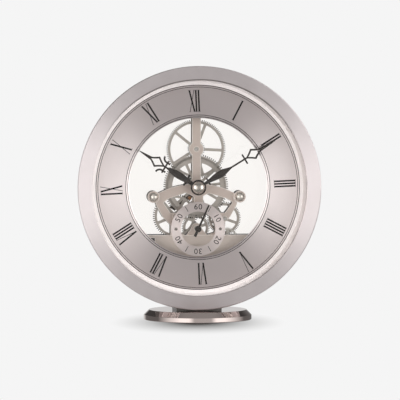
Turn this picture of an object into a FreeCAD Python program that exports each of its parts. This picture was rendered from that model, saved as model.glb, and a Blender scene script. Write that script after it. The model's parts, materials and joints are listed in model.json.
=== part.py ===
import FreeCAD, Part
import math
import os

os.makedirs("parts", exist_ok=True)

# A round desk clock with an open, skeleton movement, standing on a disc base.
# Sizes are in millimetres. The clock stands on z = 0 and faces -Y. Its round case is
# centred on a level axis that runs front to back, and depths along that axis are named
# in the order in which the pieces lie, from the front.

overrun = 1.0
running_gap = 0.3

# disc base
base_diameter = 66.8
base_height = 6.6
base_bevel = 3.2
base_edge_radius = 0.5
base_stand = 0.4
pad_inset = 4.4
pad_thickness = 1.3

# case: flat bezel ring, drum behind it, glass
case_diameter = 150.0
case_lift = 0.5
bezel_lead = 16.6
bezel_thickness = 6.0
bezel_edge_radius = 0.6
opening_taper = 0.3
spigot_length = 3.0
spigot_clearance = 0.05
spigot_wall = 1.15
glass_depth = 1.6
glass_thickness = 1.5
glass_hold = 0.8
glass_clearance = 0.1
gasket_width = 1.0
gasket_thickness = 0.5
surround_taper = 1.3
surround_foot_width = 1.8
surround_foot_thickness = 0.5
flange_overhang = 4.6
drum_wall = 1.8
drum_length = 37.0
shoulder_width = 3.0
shoulder_thickness = 2.5
lug_count = 5
lug_radius = 3.5
lug_length = 8.0

# saddle between base and drum, and what holds it
saddle_half_width = 14.0
saddle_front = 9.6
saddle_back = 20.0
clamp_thickness = 3.0
clamp_half_depth = 4.2
base_screw_spacing = 18.0
base_screw_radius = 2.0
base_screw_head_radius = 3.4
base_screw_head_height = 2.4
base_screw_set_back = 13.2

# chapter ring and the ring that carries it
dial_depth = 14.2
dial_thickness = 0.8
dial_width = 24.5
dial_bevel_width = 1.5
dial_bevel_depth = 0.45
dial_turn = 2.5
dial_pin_radius = 0.8
dial_pin_length = 3.0
dial_pin_inset = 6.3
support_width = 12.55
support_depth = 7.5

# movement plates
plate_thickness = 1.5
wheel_thickness = 0.8
level_gap = 0.4
bar_width = 5.4
bar_hold = 5.5
arch_radius = 51.0
arch_rise = 1.9
arch_width = 5.6
pillar_reach = 26.8
pillar_drop = 6.2
pillar_radius = 2.2
pillar_boss_radius = 3.7
pillar_boss_height = 2.3
pillar_nut_radius = 2.7
pillar_nut_height = 2.6
pillar_nut_skirt = 0.85
pillar_nut_thread = 1.3
window_corner_radius = 0.8
leg_half_width = 16.2
neck_left = 1.5
neck_right = 4.2
seconds_opening_radius = 11.5
seconds_band_radius = 14.2
tongue_radius = 3.2
plate_tail = 37.5
lug_half_width = 30.4
centre_boss_radius = 5.5
motion_boss_radius = 4.5
pillar_screw_radius = 1.0
pillar_screw_head_radius = 1.9
pillar_screw_head_height = 0.8
bush_radius = 1.5
centre_bush_radius = 3.0
rivet_radius = 1.15

# lower block: cover in front, housing behind
block_drop = 29.8
cover_thickness = 1.5
cover_clearance = 0.5
cover_slot_reach = 27.4
cover_slot_drop = 32.8
cover_slot_length = 2.8
cover_slot_width = 2.4
cover_screw_direction = math.radians(41.6)
small_screw_radius = 0.9
small_screw_length = 4.5
small_screw_head_radius = 1.7
small_screw_head_height = 0.8
housing_wall = 1.4
housing_inset = 3.1
housing_foot_inset = 7.0
housing_clearance = 0.2
post_reach = 35.0
post_lift = 1.5
post_radius = 3.0

# battery
battery_length = 50.5
battery_radius = 7.25
battery_foot = 10.0
battery_roof = 0.7
battery_clearance = 0.35
battery_button_radius = 2.75
battery_button_length = 1.5
contact_thickness = 0.5
contact_half_width = 5.0
contact_pip_radius = 3.2
contact_tip_radius = 1.6
contact_pip_length = 2.6

# gear train
seconds_drop = 25.7
pressure_angle = math.radians(20.0)
tooth_tip_share = 0.85
tooth_root_share = 1.2
wheel_root_share = 1.9
tooth_play_share = 0.16
tooth_taper_share = 0.6
seconds_teeth, transfer_teeth, seconds_pinion_teeth = 50, 60, 8
third_teeth, third_pinion_teeth = 64, 12
centre_teeth = 90
centre_module = 0.44
seconds_module = 0.42
transfer_distance = 18.59
transfer_direction = math.radians(17.8)
step_teeth, step_pinion_teeth = 48, 10
step_direction = math.radians(-80.0)
rotor_pinion_teeth = 8
rotor_module = 0.25
rotor_direction = math.radians(-15.0)
motion_distance = 23.3
cannon_teeth, motion_teeth = 28, 98
motion_pinion_teeth, hour_teeth = 28, 96
arbor_radius = 0.8
pivot_radius = 0.5
pivot_clearance = 0.04
hub_radius = 2.2
rim_width = 1.45
centre_rim_width = 2.4
spoke_width = 1.7
window_fillet_radius = 0.5
minute_arbor_radius = 1.0
pipe_clearance = 0.05
pipe_radius = 2.0
clutch_gap = 0.1
clutch_thickness = 0.3
clutch_arm_width = 1.6
clutch_reach = 7.0
clutch_arms = 3
clutch_collar_radius = 2.75
step_hub_radius = 1.6
step_rim_width = 0.85
spokes = 5
small_wheel_spokes = 4
hour_spoke_turn = math.radians(42.0)
motion_spoke_turn = math.radians(-3.0)
centre_spoke_turn = math.radians(6.0)
third_spoke_turn = math.radians(-14.0)
transfer_spoke_turn = math.radians(-20.0)
seconds_spoke_turn = math.radians(17.0)
step_spoke_turn = 0.0
hour_level, motion_level, third_level, seconds_level = 1, 2, 2, 4
centre_level, step_level = 3, 3
levels = 4

# stepping motor and circuit
rotor_radius = 2.4
rotor_thickness = 1.5
rotor_lift = 0.3
stator_hole_radius = 2.9
stator_thickness = 1.4
stator_half_width = 4.2
stator_bridge = 0.8
stator_arm_width = 1.6
core_half_width = 1.1
coil_start = 5.2
coil_length = 11.8
coil_radius = 2.05
bobbin_flange = 0.6
bobbin_wall = 0.35
board_half_length = 26.0
board_gap = 1.2
board_height = 7.0
board_thickness = 1.2
board_stand = 1.5
board_stand_radius = 1.1
board_stand_reach = 22.0
crystal_radius = 1.0
crystal_length = 6.0
crystal_reach = 16.0
chip_radius = 2.6
chip_height = 1.0

# seconds dial
seconds_dial_radius = 16.7
seconds_dial_bore = 10.8
seconds_dial_thickness = 0.8
seconds_dial_lead = 0.9
dial_post_radius = 1.1
dial_stud_radius = 0.55
dial_post_reach = 13.75
dial_screw_radius = 0.5
dial_screw_length = 2.0
dial_screw_head_radius = 0.95
dial_screw_head_height = 0.25

# hands
seconds_hand_gap = 0.6
seconds_hand_thickness = 0.4
seconds_hand_length = 16.1
seconds_hand_tail = 5.1
seconds_hand_half_width = 0.85
seconds_tip_half_width = 0.38
seconds_hub_radius = 2.0
seconds_hub_front = 0.2
seconds_hub_back = 0.4
seconds_angle = 24.4
hour_hand_gap = 0.5
hand_thickness = 0.5
hour_hand_length = 42.7
hour_half_width = 2.2
hour_hub_radius = 4.2
hour_angle = 302.0
minute_hand_gap = 0.45
minute_hand_length = 55.6
minute_half_width = 2.1
minute_hub_radius = 4.8
minute_angle = 58.6
stroke_width = 1.1
stem_half_width = 0.52
tip_half_width = 0.28
cap_radius = 4.1
cap_height = 2.7
cap_edge = 0.5
cap_thread = 1.35

# back: cover, see-through pane, battery door, setting knob
cover_plate_thickness = 2.0
pane_rim = 12.6
pane_sink = 1.4
pane_thickness = 1.5
pane_overlap = 1.7
pane_hole_clearance = 1.5
rear_screw_radius = 1.5
rear_screw_head_radius = 2.8
rear_screw_head_height = 1.1
rear_screw_length = 6.0
knob_radius = 5.0
knob_length = 5.2
knob_bore_depth = 2.6
knob_edge_radius = 0.8
knob_gap = 0.8
knob_flutes = 16
knob_flute_radius = 0.45
door_half_length = 27.5
door_half_height = 8.1
door_thickness = 1.6
door_gap = 0.35
door_lip = 1.6
door_lip_half_width = 7.0
knuckle_radius = 1.4
knuckle_length = 8.0
hinge_stand = 0.47
hinge_pin_radius = 0.6

# depths along the axis, front to back
y_bezel = -bezel_lead
y_bezel_back = y_bezel + bezel_thickness
y_glass = y_bezel + glass_depth
y_gasket = y_glass + glass_thickness
y_surround = y_gasket + gasket_thickness
y_dial = y_bezel + dial_depth
y_dial_back = y_dial + dial_thickness
y_support_back = y_dial_back + support_depth
y_plate = y_support_back + cover_thickness
y_plate_back = y_plate + plate_thickness
level_pitch = wheel_thickness + level_gap
y_rear_plate = y_plate_back + level_gap + levels * level_pitch
y_rear_plate_back = y_rear_plate + plate_thickness
y_drum_back = y_bezel_back + drum_length
y_cover_back = y_drum_back + cover_plate_thickness
y_seconds_dial = y_dial - seconds_dial_lead
y_seconds_hand = y_seconds_dial - seconds_hand_gap - seconds_hand_thickness
y_seconds_pivot = y_seconds_hand + seconds_hub_front
y_hour_hand = y_seconds_hand - hour_hand_gap - hand_thickness
y_minute_hand = y_hour_hand - minute_hand_gap - hand_thickness
y_knob = y_cover_back - knob_gap

# radii and heights that follow from those sizes, from the case's edge inward
axis_height = base_height + case_lift + case_diameter / 2
drum_radius = case_diameter / 2 - flange_overhang
drum_bore = drum_radius - drum_wall
lug_circle = drum_bore - lug_radius + drum_wall / 2
spigot_radius = drum_bore - spigot_clearance
glass_seat_radius = spigot_radius - spigot_wall
glass_radius = glass_seat_radius - glass_clearance
opening_radius = glass_radius - glass_hold
surround_foot_outer = opening_radius - surround_taper
surround_foot_inner = surround_foot_outer - surround_foot_width
dial_opening_radius = glass_radius - dial_width
dial_pin_circle = glass_radius - dial_pin_inset
support_inner_radius = spigot_radius - support_width
bar_reach = support_inner_radius + bar_hold
cover_radius = drum_bore - shoulder_width - cover_clearance
housing_radius = drum_bore - housing_inset
housing_drop = housing_radius - housing_foot_inset
battery_drop = housing_drop - battery_foot
housing_split = battery_drop - battery_radius - battery_clearance - battery_roof
board_bottom = housing_split - board_gap
board_top = board_bottom - board_height
post_drop = battery_drop - post_lift
pane_window_radius = drum_bore - pane_rim
pane_window_drop = block_drop + pane_sink
door_top_drop = battery_drop - door_half_height
door_bottom_drop = battery_drop + door_half_height
pad_radius = base_diameter / 2 - pad_inset
origin = (0.0, 0.0)
touching_share = 1e-6
level_share = 0.9


def at(place, y):
    return FreeCAD.Vector(place[0], y, axis_height + place[1])


def toward(place, angle, distance):
    return (place[0] + distance * math.cos(angle), place[1] + distance * math.sin(angle))


def direction(start, end):
    return math.atan2(end[1] - start[1], end[0] - start[0])


def meeting(first, first_reach, second, second_reach):
    """The place at both reaches, on the left of the way from first to second."""
    gap = math.dist(first, second)
    along = (first_reach**2 - second_reach**2 + gap**2) / (2 * gap)
    side = math.sqrt(first_reach**2 - along**2)
    way = direction(first, second)
    return toward(toward(first, way, along), way + math.pi / 2, side)


def rod(radius, front, back, place=origin):
    return Part.makeCylinder(radius, back - front, at(place, front), FreeCAD.Vector(0, 1, 0))


def tube(outer, inner, front, back, place=origin):
    return rod(outer, front, back, place).cut(rod(inner, front - overrun, back + overrun, place))


def slab(left, right, bottom, top, front, back):
    return Part.makeBox(right - left, back - front, top - bottom, at((left, bottom), front))


def rounded_wire(corners, lift):
    """A closed outline of straight runs; each corner is (a, b, radius) and is rounded by that radius."""
    ends = []
    for i, (a, b, radius) in enumerate(corners):
        before, after = corners[i - 1], corners[(i + 1) % len(corners)]
        ways = []
        for other in (before, after):
            reach = math.hypot(other[0] - a, other[1] - b)
            ways.append(((other[0] - a) / reach, (other[1] - b) / reach))
        if not radius:
            ends.append(((a, b), None, (a, b)))
            continue
        half = math.acos(ways[0][0] * ways[1][0] + ways[0][1] * ways[1][1]) / 2
        step = radius / math.tan(half)
        middle = (ways[0][0] + ways[1][0], ways[0][1] + ways[1][1])
        size = math.hypot(*middle)
        depth = (radius / math.sin(half) - radius) / size
        ends.append(
            (
                (a + ways[0][0] * step, b + ways[0][1] * step),
                (a + middle[0] * depth, b + middle[1] * depth),
                (a + ways[1][0] * step, b + ways[1][1] * step),
            )
        )
    edges = []
    for i, (start, crown, end) in enumerate(ends):
        last = ends[i - 1][2]
        if math.dist(last, start) > touching_share * case_diameter:
            edges.append(Part.makeLine(lift(last), lift(start)))
        if crown:
            edges.append(Part.Arc(lift(start), lift(crown), lift(end)).toShape())
    return Part.Wire(edges)


def plate(corners, front, back):
    full = [corner if len(corner) == 3 else (*corner, 0.0) for corner in corners]
    face = Part.Face(rounded_wire(full, lambda point: at(point, front)))
    return face.extrude(FreeCAD.Vector(0, back - front, 0))


def turned(corners):
    """A ring or disc about the case axis, from its (radius, depth, corner radius) section."""
    full = [corner if len(corner) == 3 else (*corner, 0.0) for corner in corners]
    face = Part.Face(rounded_wire(full, lambda point: at((point[0], 0.0), point[1])))
    return face.revolve(at(origin, 0.0), FreeCAD.Vector(0, 1, 0), 360)


def spun(corners):
    """A disc about the upright axis of the base, from its (radius, height, corner radius) section."""
    face = Part.Face(rounded_wire(corners, lambda point: FreeCAD.Vector(point[0], 0, point[1])))
    return face.revolve(FreeCAD.Vector(0, 0, 0), FreeCAD.Vector(0, 0, 1), 360)


def post(radius, bottom, top, x, y):
    return Part.makeCylinder(radius, top - bottom, FreeCAD.Vector(x, y, bottom))


def joined(shapes):
    whole = shapes[0].multiFuse(list(shapes[1:])) if len(shapes) > 1 else shapes[0]
    return whole.removeSplitter()


def cut_all(shape, cutters):
    return shape.cut(Part.makeCompound(list(cutters)))


def along_axis(shape, least):
    """The edges of a shape that run front to back and are longer than the least length."""
    return [
        edge
        for edge in shape.Edges
        if abs(edge.tangentAt(edge.FirstParameter).y) > level_share and edge.Length > least
    ]


def group(shapes):
    return Part.makeCompound(list(shapes))


def save(name, shape):
    solids = shape.Solids
    if not solids or not all(solid.isValid() for solid in solids):
        raise ValueError(f"{name} is not made of valid solids")
    kept = solids[0] if len(solids) == 1 else Part.makeCompound(solids)
    kept.exportStep(f"parts/{name}.step")
    print(f"{name}: {len(solids)} solid(s), {kept.Volume:.1f} mm3")


# gears


def involute(angle):
    return math.tan(angle) - angle


def gear_points(teeth, module, turn, root_share):
    """Outline of a gear: near-radial flanks up to the pitch circle, rounded tips above it."""
    pitch = teeth * module / 2
    base = pitch * math.cos(pressure_angle)
    flank = math.pi / (2 * teeth) * (1 - tooth_play_share)

    def half_angle(radius):
        if radius <= pitch:
            return flank * (1 - tooth_taper_share * (pitch - radius) / pitch)
        return flank + involute(pressure_angle) - involute(math.acos(base / radius))

    radii = (pitch - root_share * module, pitch, pitch + tooth_tip_share * module)
    points = []
    for tooth in range(teeth):
        middle = turn + 2 * math.pi * tooth / teeth
        for radius in radii:
            points.append(toward(origin, middle - half_angle(radius), radius))
        for radius in reversed(radii):
            points.append(toward(origin, middle + half_angle(radius), radius))
    return points


def meshed_turn(turn, teeth, other_teeth, way):
    """The turn of a gear that lies at angle way from one with this turn, so that their teeth interleave."""
    offset = (turn - way) % (2 * math.pi / teeth)
    return way + math.pi - offset * teeth / other_teeth + math.pi / other_teeth


def toothed(teeth, module, turn, place, front, back, root_share=tooth_root_share):
    outline = gear_points(teeth, module, turn, root_share)
    points = [(place[0] + u, place[1] + w) for u, w in outline]
    return plate(points, front, back)


def spoke_windows(inner, outer, count, width, turn, place, front, back):
    """Cutters that leave a wheel with spokes between its hub and its rim."""
    cutters = []
    for i in range(count):
        start = turn + 2 * math.pi * i / count
        end = start + 2 * math.pi / count
        points = []
        for radius, side in ((inner, 1), (outer, 1), (outer, -1), (inner, -1)):
            lean = math.asin(width / 2 / radius)
            points.append(toward(place, start + lean if side > 0 else end - lean, radius))
        middle = (start + end) / 2
        edges = [
            Part.makeLine(at(points[0], front), at(points[1], front)),
            Part.Arc(
                at(points[1], front), at(toward(place, middle, outer), front), at(points[2], front)
            ).toShape(),
            Part.makeLine(at(points[2], front), at(points[3], front)),
            Part.Arc(
                at(points[3], front), at(toward(place, middle, inner), front), at(points[0], front)
            ).toShape(),
        ]
        prism = Part.Face(Part.Wire(edges)).extrude(FreeCAD.Vector(0, back - front, 0))
        cutters.append(prism.makeFillet(window_fillet_radius, along_axis(prism, (back - front) / 2)))
    return cutters


def wheel(gear, level, bore, count, spoke_turn, hub, rim):
    """A spoked wheel; its gear is (teeth, module, turn, place)."""
    teeth, module, turn, place = gear
    front = level_front(level)
    back = front + wheel_thickness
    inner_rim = teeth * module / 2 - wheel_root_share * module - rim
    ends = (front - overrun, back + overrun)
    cutters = spoke_windows(hub, inner_rim, count, spoke_width, spoke_turn, place, *ends)
    cutters.append(rod(bore, *ends, place))
    return cut_all(toothed(*gear, front, back, wheel_root_share), cutters)


def level_front(level):
    """Front face of the wheels on a level; level 1 lies behind the front plate, 4 before the back plate."""
    return y_plate_back + level_gap + (level - 1) * level_pitch


def arbor(place, front):
    """A steel arbor: a thicker body between the plates, and a pivot through each plate."""
    body = rod(arbor_radius, y_plate_back + running_gap, y_rear_plate - running_gap, place)
    return body.fuse(rod(pivot_radius, front, y_rear_plate_back, place))


def pinion(teeth, module, turn, place, level):
    front = level_front(level)
    return toothed(teeth, module, turn, place, front, front + wheel_thickness)


# places of the arbors, from the meshes that join them
seconds_place = (0.0, -seconds_drop)
motion_place = (0.0, motion_distance)
third_place = meeting(
    seconds_place,
    seconds_module * (seconds_pinion_teeth + third_teeth) / 2,
    origin,
    centre_module * (third_pinion_teeth + centre_teeth) / 2,
)
transfer_module = 2 * transfer_distance / (seconds_teeth + transfer_teeth)
transfer_place = toward(seconds_place, transfer_direction, transfer_distance)
step_place = toward(
    transfer_place, step_direction, transfer_module * (transfer_teeth + step_pinion_teeth) / 2
)
rotor_place = toward(
    step_place, rotor_direction, rotor_module * (step_teeth + rotor_pinion_teeth) / 2
)
cannon_module = 2 * motion_distance / (cannon_teeth + motion_teeth)
hour_module = 2 * motion_distance / (motion_pinion_teeth + hour_teeth)

# turn of each gear, so that every pair is in mesh
seconds_pinion_turn = direction(seconds_place, third_place)
third_turn = meshed_turn(
    seconds_pinion_turn, seconds_pinion_teeth, third_teeth, direction(seconds_place, third_place)
)
third_pinion_turn = direction(third_place, origin)
centre_turn = meshed_turn(
    third_pinion_turn, third_pinion_teeth, centre_teeth, direction(third_place, origin)
)
seconds_turn = direction(seconds_place, transfer_place)
transfer_turn = meshed_turn(
    seconds_turn, seconds_teeth, transfer_teeth, direction(seconds_place, transfer_place)
)
step_pinion_turn = meshed_turn(
    transfer_turn, transfer_teeth, step_pinion_teeth, direction(transfer_place, step_place)
)
step_turn = direction(step_place, rotor_place)
rotor_turn = meshed_turn(
    step_turn, step_teeth, rotor_pinion_teeth, direction(step_place, rotor_place)
)
cannon_turn = direction(origin, motion_place)
motion_turn = meshed_turn(
    cannon_turn, cannon_teeth, motion_teeth, direction(origin, motion_place)
)
motion_pinion_turn = direction(motion_place, origin)
hour_turn = meshed_turn(
    motion_pinion_turn, motion_pinion_teeth, hour_teeth, direction(motion_place, origin)
)


# base and case


def base_pieces():
    radius = base_diameter / 2
    recess = base_stand + pad_thickness
    disc = spun(
        [
            (0, recess, 0),
            (pad_radius, recess, 0),
            (pad_radius, base_stand, 0),
            (radius, base_stand, base_edge_radius),
            (radius, base_height - base_bevel, base_edge_radius),
            (radius - base_bevel, base_height, base_edge_radius),
            (0, base_height, 0),
        ]
    )
    pad = spun(
        [
            (0, 0, 0),
            (pad_radius, 0, 0),
            (pad_radius, recess, 0),
            (0, recess, 0),
        ]
    )
    drum_bottom = axis_height - drum_radius
    block = Part.makeBox(
        2 * saddle_half_width,
        saddle_front + saddle_back,
        drum_bottom - base_height + saddle_half_width,
        FreeCAD.Vector(-saddle_half_width, -saddle_front, base_height),
    )
    saddle = block.cut(rod(drum_radius, -saddle_front - overrun, saddle_back + overrun))
    clamp_span = (base_screw_set_back - clamp_half_depth, base_screw_set_back + clamp_half_depth)
    clamp = tube(drum_bore, drum_bore - clamp_thickness, *clamp_span).common(
        slab(-saddle_half_width, saddle_half_width, -drum_radius, 0, *clamp_span)
    )
    holes, counterbores, screws = [], [], []
    for side in (-1, 1):
        x = side * base_screw_spacing / 2
        top = axis_height - drum_bore + clamp_thickness
        head_top = recess + base_screw_head_height
        holes.append(post(base_screw_radius, 0, top + overrun, x, base_screw_set_back))
        counterbores.append(post(base_screw_head_radius, 0, head_top, x, base_screw_set_back))
        head = post(base_screw_head_radius, recess, head_top, x, base_screw_set_back)
        screws.append(head.fuse(post(base_screw_radius, head_top, top, x, base_screw_set_back)))
    save("base_disc", cut_all(disc, holes + counterbores))
    save("base_pad", pad)
    save("case_saddle", cut_all(saddle, holes))
    save("clamp_block", cut_all(clamp, holes))
    save("base_screws", group(screws))
    return holes


def bezel():
    outer = case_diameter / 2
    return turned(
        [
            (opening_radius, y_bezel),
            (outer, y_bezel, bezel_edge_radius),
            (outer, y_bezel_back, bezel_edge_radius),
            (spigot_radius, y_bezel_back),
            (spigot_radius, y_bezel_back + spigot_length),
            (glass_seat_radius, y_bezel_back + spigot_length),
            (glass_seat_radius, y_glass),
            (opening_radius - opening_taper, y_glass),
        ]
    )


def surround():
    """A sleeve that narrows from the glass down to a flat foot on the dial."""
    return turned(
        [
            (glass_radius, y_surround),
            (glass_radius, y_dial),
            (surround_foot_inner, y_dial),
            (surround_foot_inner, y_dial - surround_foot_thickness),
            (surround_foot_outer, y_dial - surround_foot_thickness),
            (opening_radius - opening_taper, y_surround),
        ]
    )


def lug_places():
    return [
        toward(origin, -math.pi / 2 + 2 * math.pi * i / lug_count, lug_circle)
        for i in range(lug_count)
    ]


def drum(base_holes):
    shell = tube(drum_radius, drum_bore, y_bezel_back, y_drum_back)
    shoulder = tube(
        drum_bore + drum_wall / 2,
        drum_bore - shoulder_width,
        y_support_back,
        y_support_back + shoulder_thickness,
    )
    lugs = [rod(lug_radius, y_drum_back - lug_length, y_drum_back, place) for place in lug_places()]
    whole = joined([shell, shoulder] + lugs)
    threads = [
        rod(rear_screw_radius, y_drum_back - rear_screw_length, y_drum_back + overrun, place)
        for place in lug_places()
    ]
    return cut_all(whole, threads + base_holes)


def case_pieces():
    save("front_bezel", bezel())
    save("front_glass", rod(glass_radius, y_glass, y_gasket))
    save("glass_gasket", tube(glass_radius, glass_radius - gasket_width, y_gasket, y_surround))
    save("dial_surround", surround())


# dial and the rings behind it


def pin_places():
    start = math.radians(dial_turn)
    return [toward(origin, start + math.pi * i, dial_pin_circle) for i in range(2)]


def dial_pieces():
    pins = [
        rod(dial_pin_radius, y_dial_back, y_dial_back + dial_pin_length, place)
        for place in pin_places()
    ]
    ring = turned(
        [
            (glass_radius, y_dial),
            (glass_radius, y_dial_back),
            (dial_opening_radius, y_dial_back),
            (dial_opening_radius, y_dial + dial_bevel_depth),
            (dial_opening_radius + dial_bevel_width, y_dial),
        ]
    )
    support = tube(spigot_radius, support_inner_radius, y_dial_back, y_support_back)
    shank_front = y_plate - small_screw_length
    shanks = [
        rod(small_screw_radius, shank_front, y_plate + overrun, place)
        for place in cover_screw_places()
    ]
    shanks.append(rod(small_screw_radius, shank_front, y_plate + overrun, bar_screw_place))
    save("chapter_ring", ring)
    save("dial_pins", group(pins))
    save("support_ring", cut_all(support, pins + shanks))


def cover_screw_places():
    reach = (support_inner_radius + cover_radius) / 2
    right = toward(origin, -cover_screw_direction, reach)
    return [(-right[0], right[1]), right]


bar_screw_place = (0.0, (support_inner_radius + bar_reach) / 2)


# movement plates

leg_shares = (
    (-0.955, -0.1),
    (-0.94, -0.37),
    (-0.79, -0.62),
)
left_window_shares = (
    (-0.77, -0.33),
    (-0.645, -0.245),
    (-0.24, -0.127),
)
right_window_shares = (
    (0.84, -0.325),
    (0.7, -0.25),
    (0.29, -0.137),
)
window_foot_share = -0.543
window_corner_share = 0.79
tail_top_share = -0.8
fill_shares = ((1.1, 0.937), (0.6, 1.0))


def plate_blank(front, back):
    """Bar, arch, side legs and tail of a movement plate, before its windows are cut."""
    centre_drop = arch_radius - arch_rise
    arch_centre = (0.0, -centre_drop)
    arch = tube(arch_radius, arch_radius - arch_width, front, back, arch_centre)
    arch_end = -pillar_drop - pillar_boss_radius / 2
    arch = arch.common(slab(-pillar_reach, pillar_reach, arch_end, arch_rise, front, back))
    legs = [(u * pillar_reach, w * block_drop) for u, w in leg_shares]
    tail = [(-leg_half_width, tail_top_share * block_drop), (-leg_half_width, -plate_tail)]
    left = legs + tail
    right = [(-u, w) for u, w in reversed(left)]
    body = plate(left + right, front, back)
    body = body.common(rod(arch_radius, front, back, arch_centre))
    bar = slab(-bar_width / 2, bar_width / 2, 0, bar_reach, front, back)
    tail_lug = slab(0, lug_half_width, -plate_tail, -block_drop - level_gap, front, back)
    bosses = [rod(pillar_boss_radius, front, back, place) for place in side_pillars]
    hub = rod(centre_boss_radius, front, back)
    motion_boss = rod(motion_boss_radius, front, back, motion_place)
    return joined([body, arch, bar, tail_lug, hub, motion_boss] + bosses)


side_pillars = ((-pillar_reach, -pillar_drop), (pillar_reach, -pillar_drop))
top_pillar = (0.0, (dial_opening_radius + support_inner_radius) / 2)
tail_pillars = (
    (-leg_half_width + pillar_boss_radius, -plate_tail + pillar_radius + level_gap),
    (leg_half_width / 2, -plate_tail + pillar_radius + level_gap),
)


def window(shares, neck, front, back):
    upper = [(u * pillar_reach, w * block_drop, window_corner_radius) for u, w in shares]
    foot = window_foot_share * block_drop
    inner = (neck, upper[-1][1] - abs(upper[-1][0] - neck) / 2, window_corner_radius)
    outer = (window_corner_share * upper[0][0], foot, window_corner_radius)
    corners = upper + [inner, (neck, foot, 0.0), outer]
    shape = plate(corners, front - overrun, back + overrun)
    return shape.cut(rod(seconds_band_radius, front - overrun, back + overrun, seconds_place))


def seconds_opening(front, back):
    """The round opening behind the seconds dial, less the tongue that carries the seconds arbor."""
    hole = rod(seconds_opening_radius, front - overrun, back + overrun, seconds_place)
    outer = fill_shares[0][0] * seconds_opening_radius
    inner = fill_shares[1][0] * seconds_opening_radius
    high = -fill_shares[0][1] * block_drop
    low = -fill_shares[1][1] * block_drop
    bottom = -seconds_drop - seconds_opening_radius - overrun
    fill = plate(
        [(-outer, high), (-inner, low), (inner, low), (outer, high), (outer, bottom), (-outer, bottom)],
        front - overrun,
        back + overrun,
    )
    tongue = plate(
        [
            (-tongue_radius, -seconds_drop),
            (tongue_radius, -seconds_drop),
            (2 * tongue_radius, low),
            (-2 * tongue_radius, low),
        ],
        front - overrun,
        back + overrun,
    )
    boss = rod(tongue_radius, front - overrun, back + overrun, seconds_place)
    return cut_all(hole, [fill, tongue, boss])


def bearing_places():
    return [seconds_place, third_place, transfer_place, step_place, rotor_place, motion_place]


def pillar_places():
    return [*side_pillars, top_pillar, *tail_pillars]


def front_plate():
    blank = plate_blank(y_plate, y_plate_back)
    pad = slab(
        -bar_width / 2, bar_width / 2, support_inner_radius, bar_reach, y_support_back, y_plate
    )
    bosses = [
        rod(pillar_boss_radius, y_plate - pillar_boss_height, y_plate, place) for place in side_pillars
    ]
    whole = joined([blank, pad] + bosses)
    cutters = [
        window(left_window_shares, -neck_left, y_plate, y_plate_back),
        window(right_window_shares, neck_right, y_plate, y_plate_back),
        seconds_opening(y_plate, y_plate_back),
        rod(centre_bush_radius, y_plate - overrun, y_plate_back + overrun),
        rod(small_screw_radius, y_support_back - overrun, y_plate_back + overrun, bar_screw_place),
    ]
    cutters += [
        rod(bush_radius, y_plate - overrun, y_plate_back + overrun, place)
        for place in bearing_places()
    ]
    cutters += [
        rod(pillar_screw_radius, y_support_back - pillar_boss_height, y_plate_back + overrun, place)
        for place in pillar_places()
    ]
    cutters += [
        rod(dial_stud_radius, y_plate - overrun, y_plate_back + overrun, place) for place in dial_posts
    ]
    return cut_all(whole, cutters)


dial_posts = tuple((side * dial_post_reach, -seconds_drop) for side in (-1, 1))


def back_plate():
    blank = plate_blank(y_rear_plate, y_rear_plate_back)
    blank = blank.cut(
        slab(
            -bar_width, bar_width, top_pillar[1] + pillar_boss_radius, bar_reach + overrun,
            y_rear_plate - overrun, y_rear_plate_back + overrun,
        )
    )
    arm = plate(
        [(u * pillar_reach, w * block_drop) for u, w in arm_shares], y_rear_plate, y_rear_plate_back
    )
    windows = [
        window(left_window_shares, -neck_left, y_rear_plate, y_rear_plate_back).cut(arm),
        window(right_window_shares, neck_right, y_rear_plate, y_rear_plate_back),
        seconds_opening(y_rear_plate, y_rear_plate_back),
        rod(centre_bush_radius, y_rear_plate - overrun, y_rear_plate_back + overrun),
        rod(rivet_radius, y_rear_plate - overrun, y_rear_plate_back + overrun, rivet_place),
    ]
    windows += [
        rod(bush_radius, y_rear_plate - overrun, y_rear_plate_back + overrun, place)
        for place in bearing_places()
    ]
    windows += [
        rod(pillar_screw_radius, y_rear_plate - overrun, y_rear_plate_back + overrun, place)
        for place in pillar_places()
    ]
    return cut_all(blank, windows)


arm_shares = ((-0.5, -0.5), (-0.62, -0.44), (-0.12, -0.12), (-0.02, -0.2))
rivet_shares = (-0.135, -0.25)
rivet_place = (rivet_shares[0] * pillar_reach, rivet_shares[1] * block_drop)


def plate_pieces():
    save("front_plate", front_plate())
    save("back_plate", back_plate())
    pillars, nuts, screws = [], [], []
    for place in pillar_places():
        pillars.append(tube(pillar_radius, pillar_screw_radius, y_plate_back, y_rear_plate, place))
        head_back = y_rear_plate_back + pillar_screw_head_height
        head = rod(pillar_screw_head_radius, y_rear_plate_back, head_back, place)
        front = y_plate
        if place in side_pillars:
            front = y_plate - pillar_boss_height
            nuts.append(dome_nut(place, front))
            front -= pillar_nut_thread
        screws.append(head.fuse(rod(pillar_screw_radius, front, y_rear_plate_back, place)))
    save("plate_pillars", group(pillars))
    save("pillar_nuts", group(nuts))
    save("plate_screws", group(screws))
    bushes = []
    for front, back in ((y_plate, y_plate_back), (y_rear_plate, y_rear_plate_back)):
        for place in bearing_places():
            bushes.append(tube(bush_radius, pivot_radius + pivot_clearance, front, back, place))
    bushes.append(tube(centre_bush_radius, pipe_radius + pivot_clearance, y_plate, y_plate_back))
    bushes.append(
        tube(
            centre_bush_radius, minute_arbor_radius + pivot_clearance, y_rear_plate, y_rear_plate_back
        )
    )
    bushes.append(rod(rivet_radius, y_rear_plate - level_gap / 2, y_rear_plate_back, rivet_place))
    save("plate_bushes", group(bushes))


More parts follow.
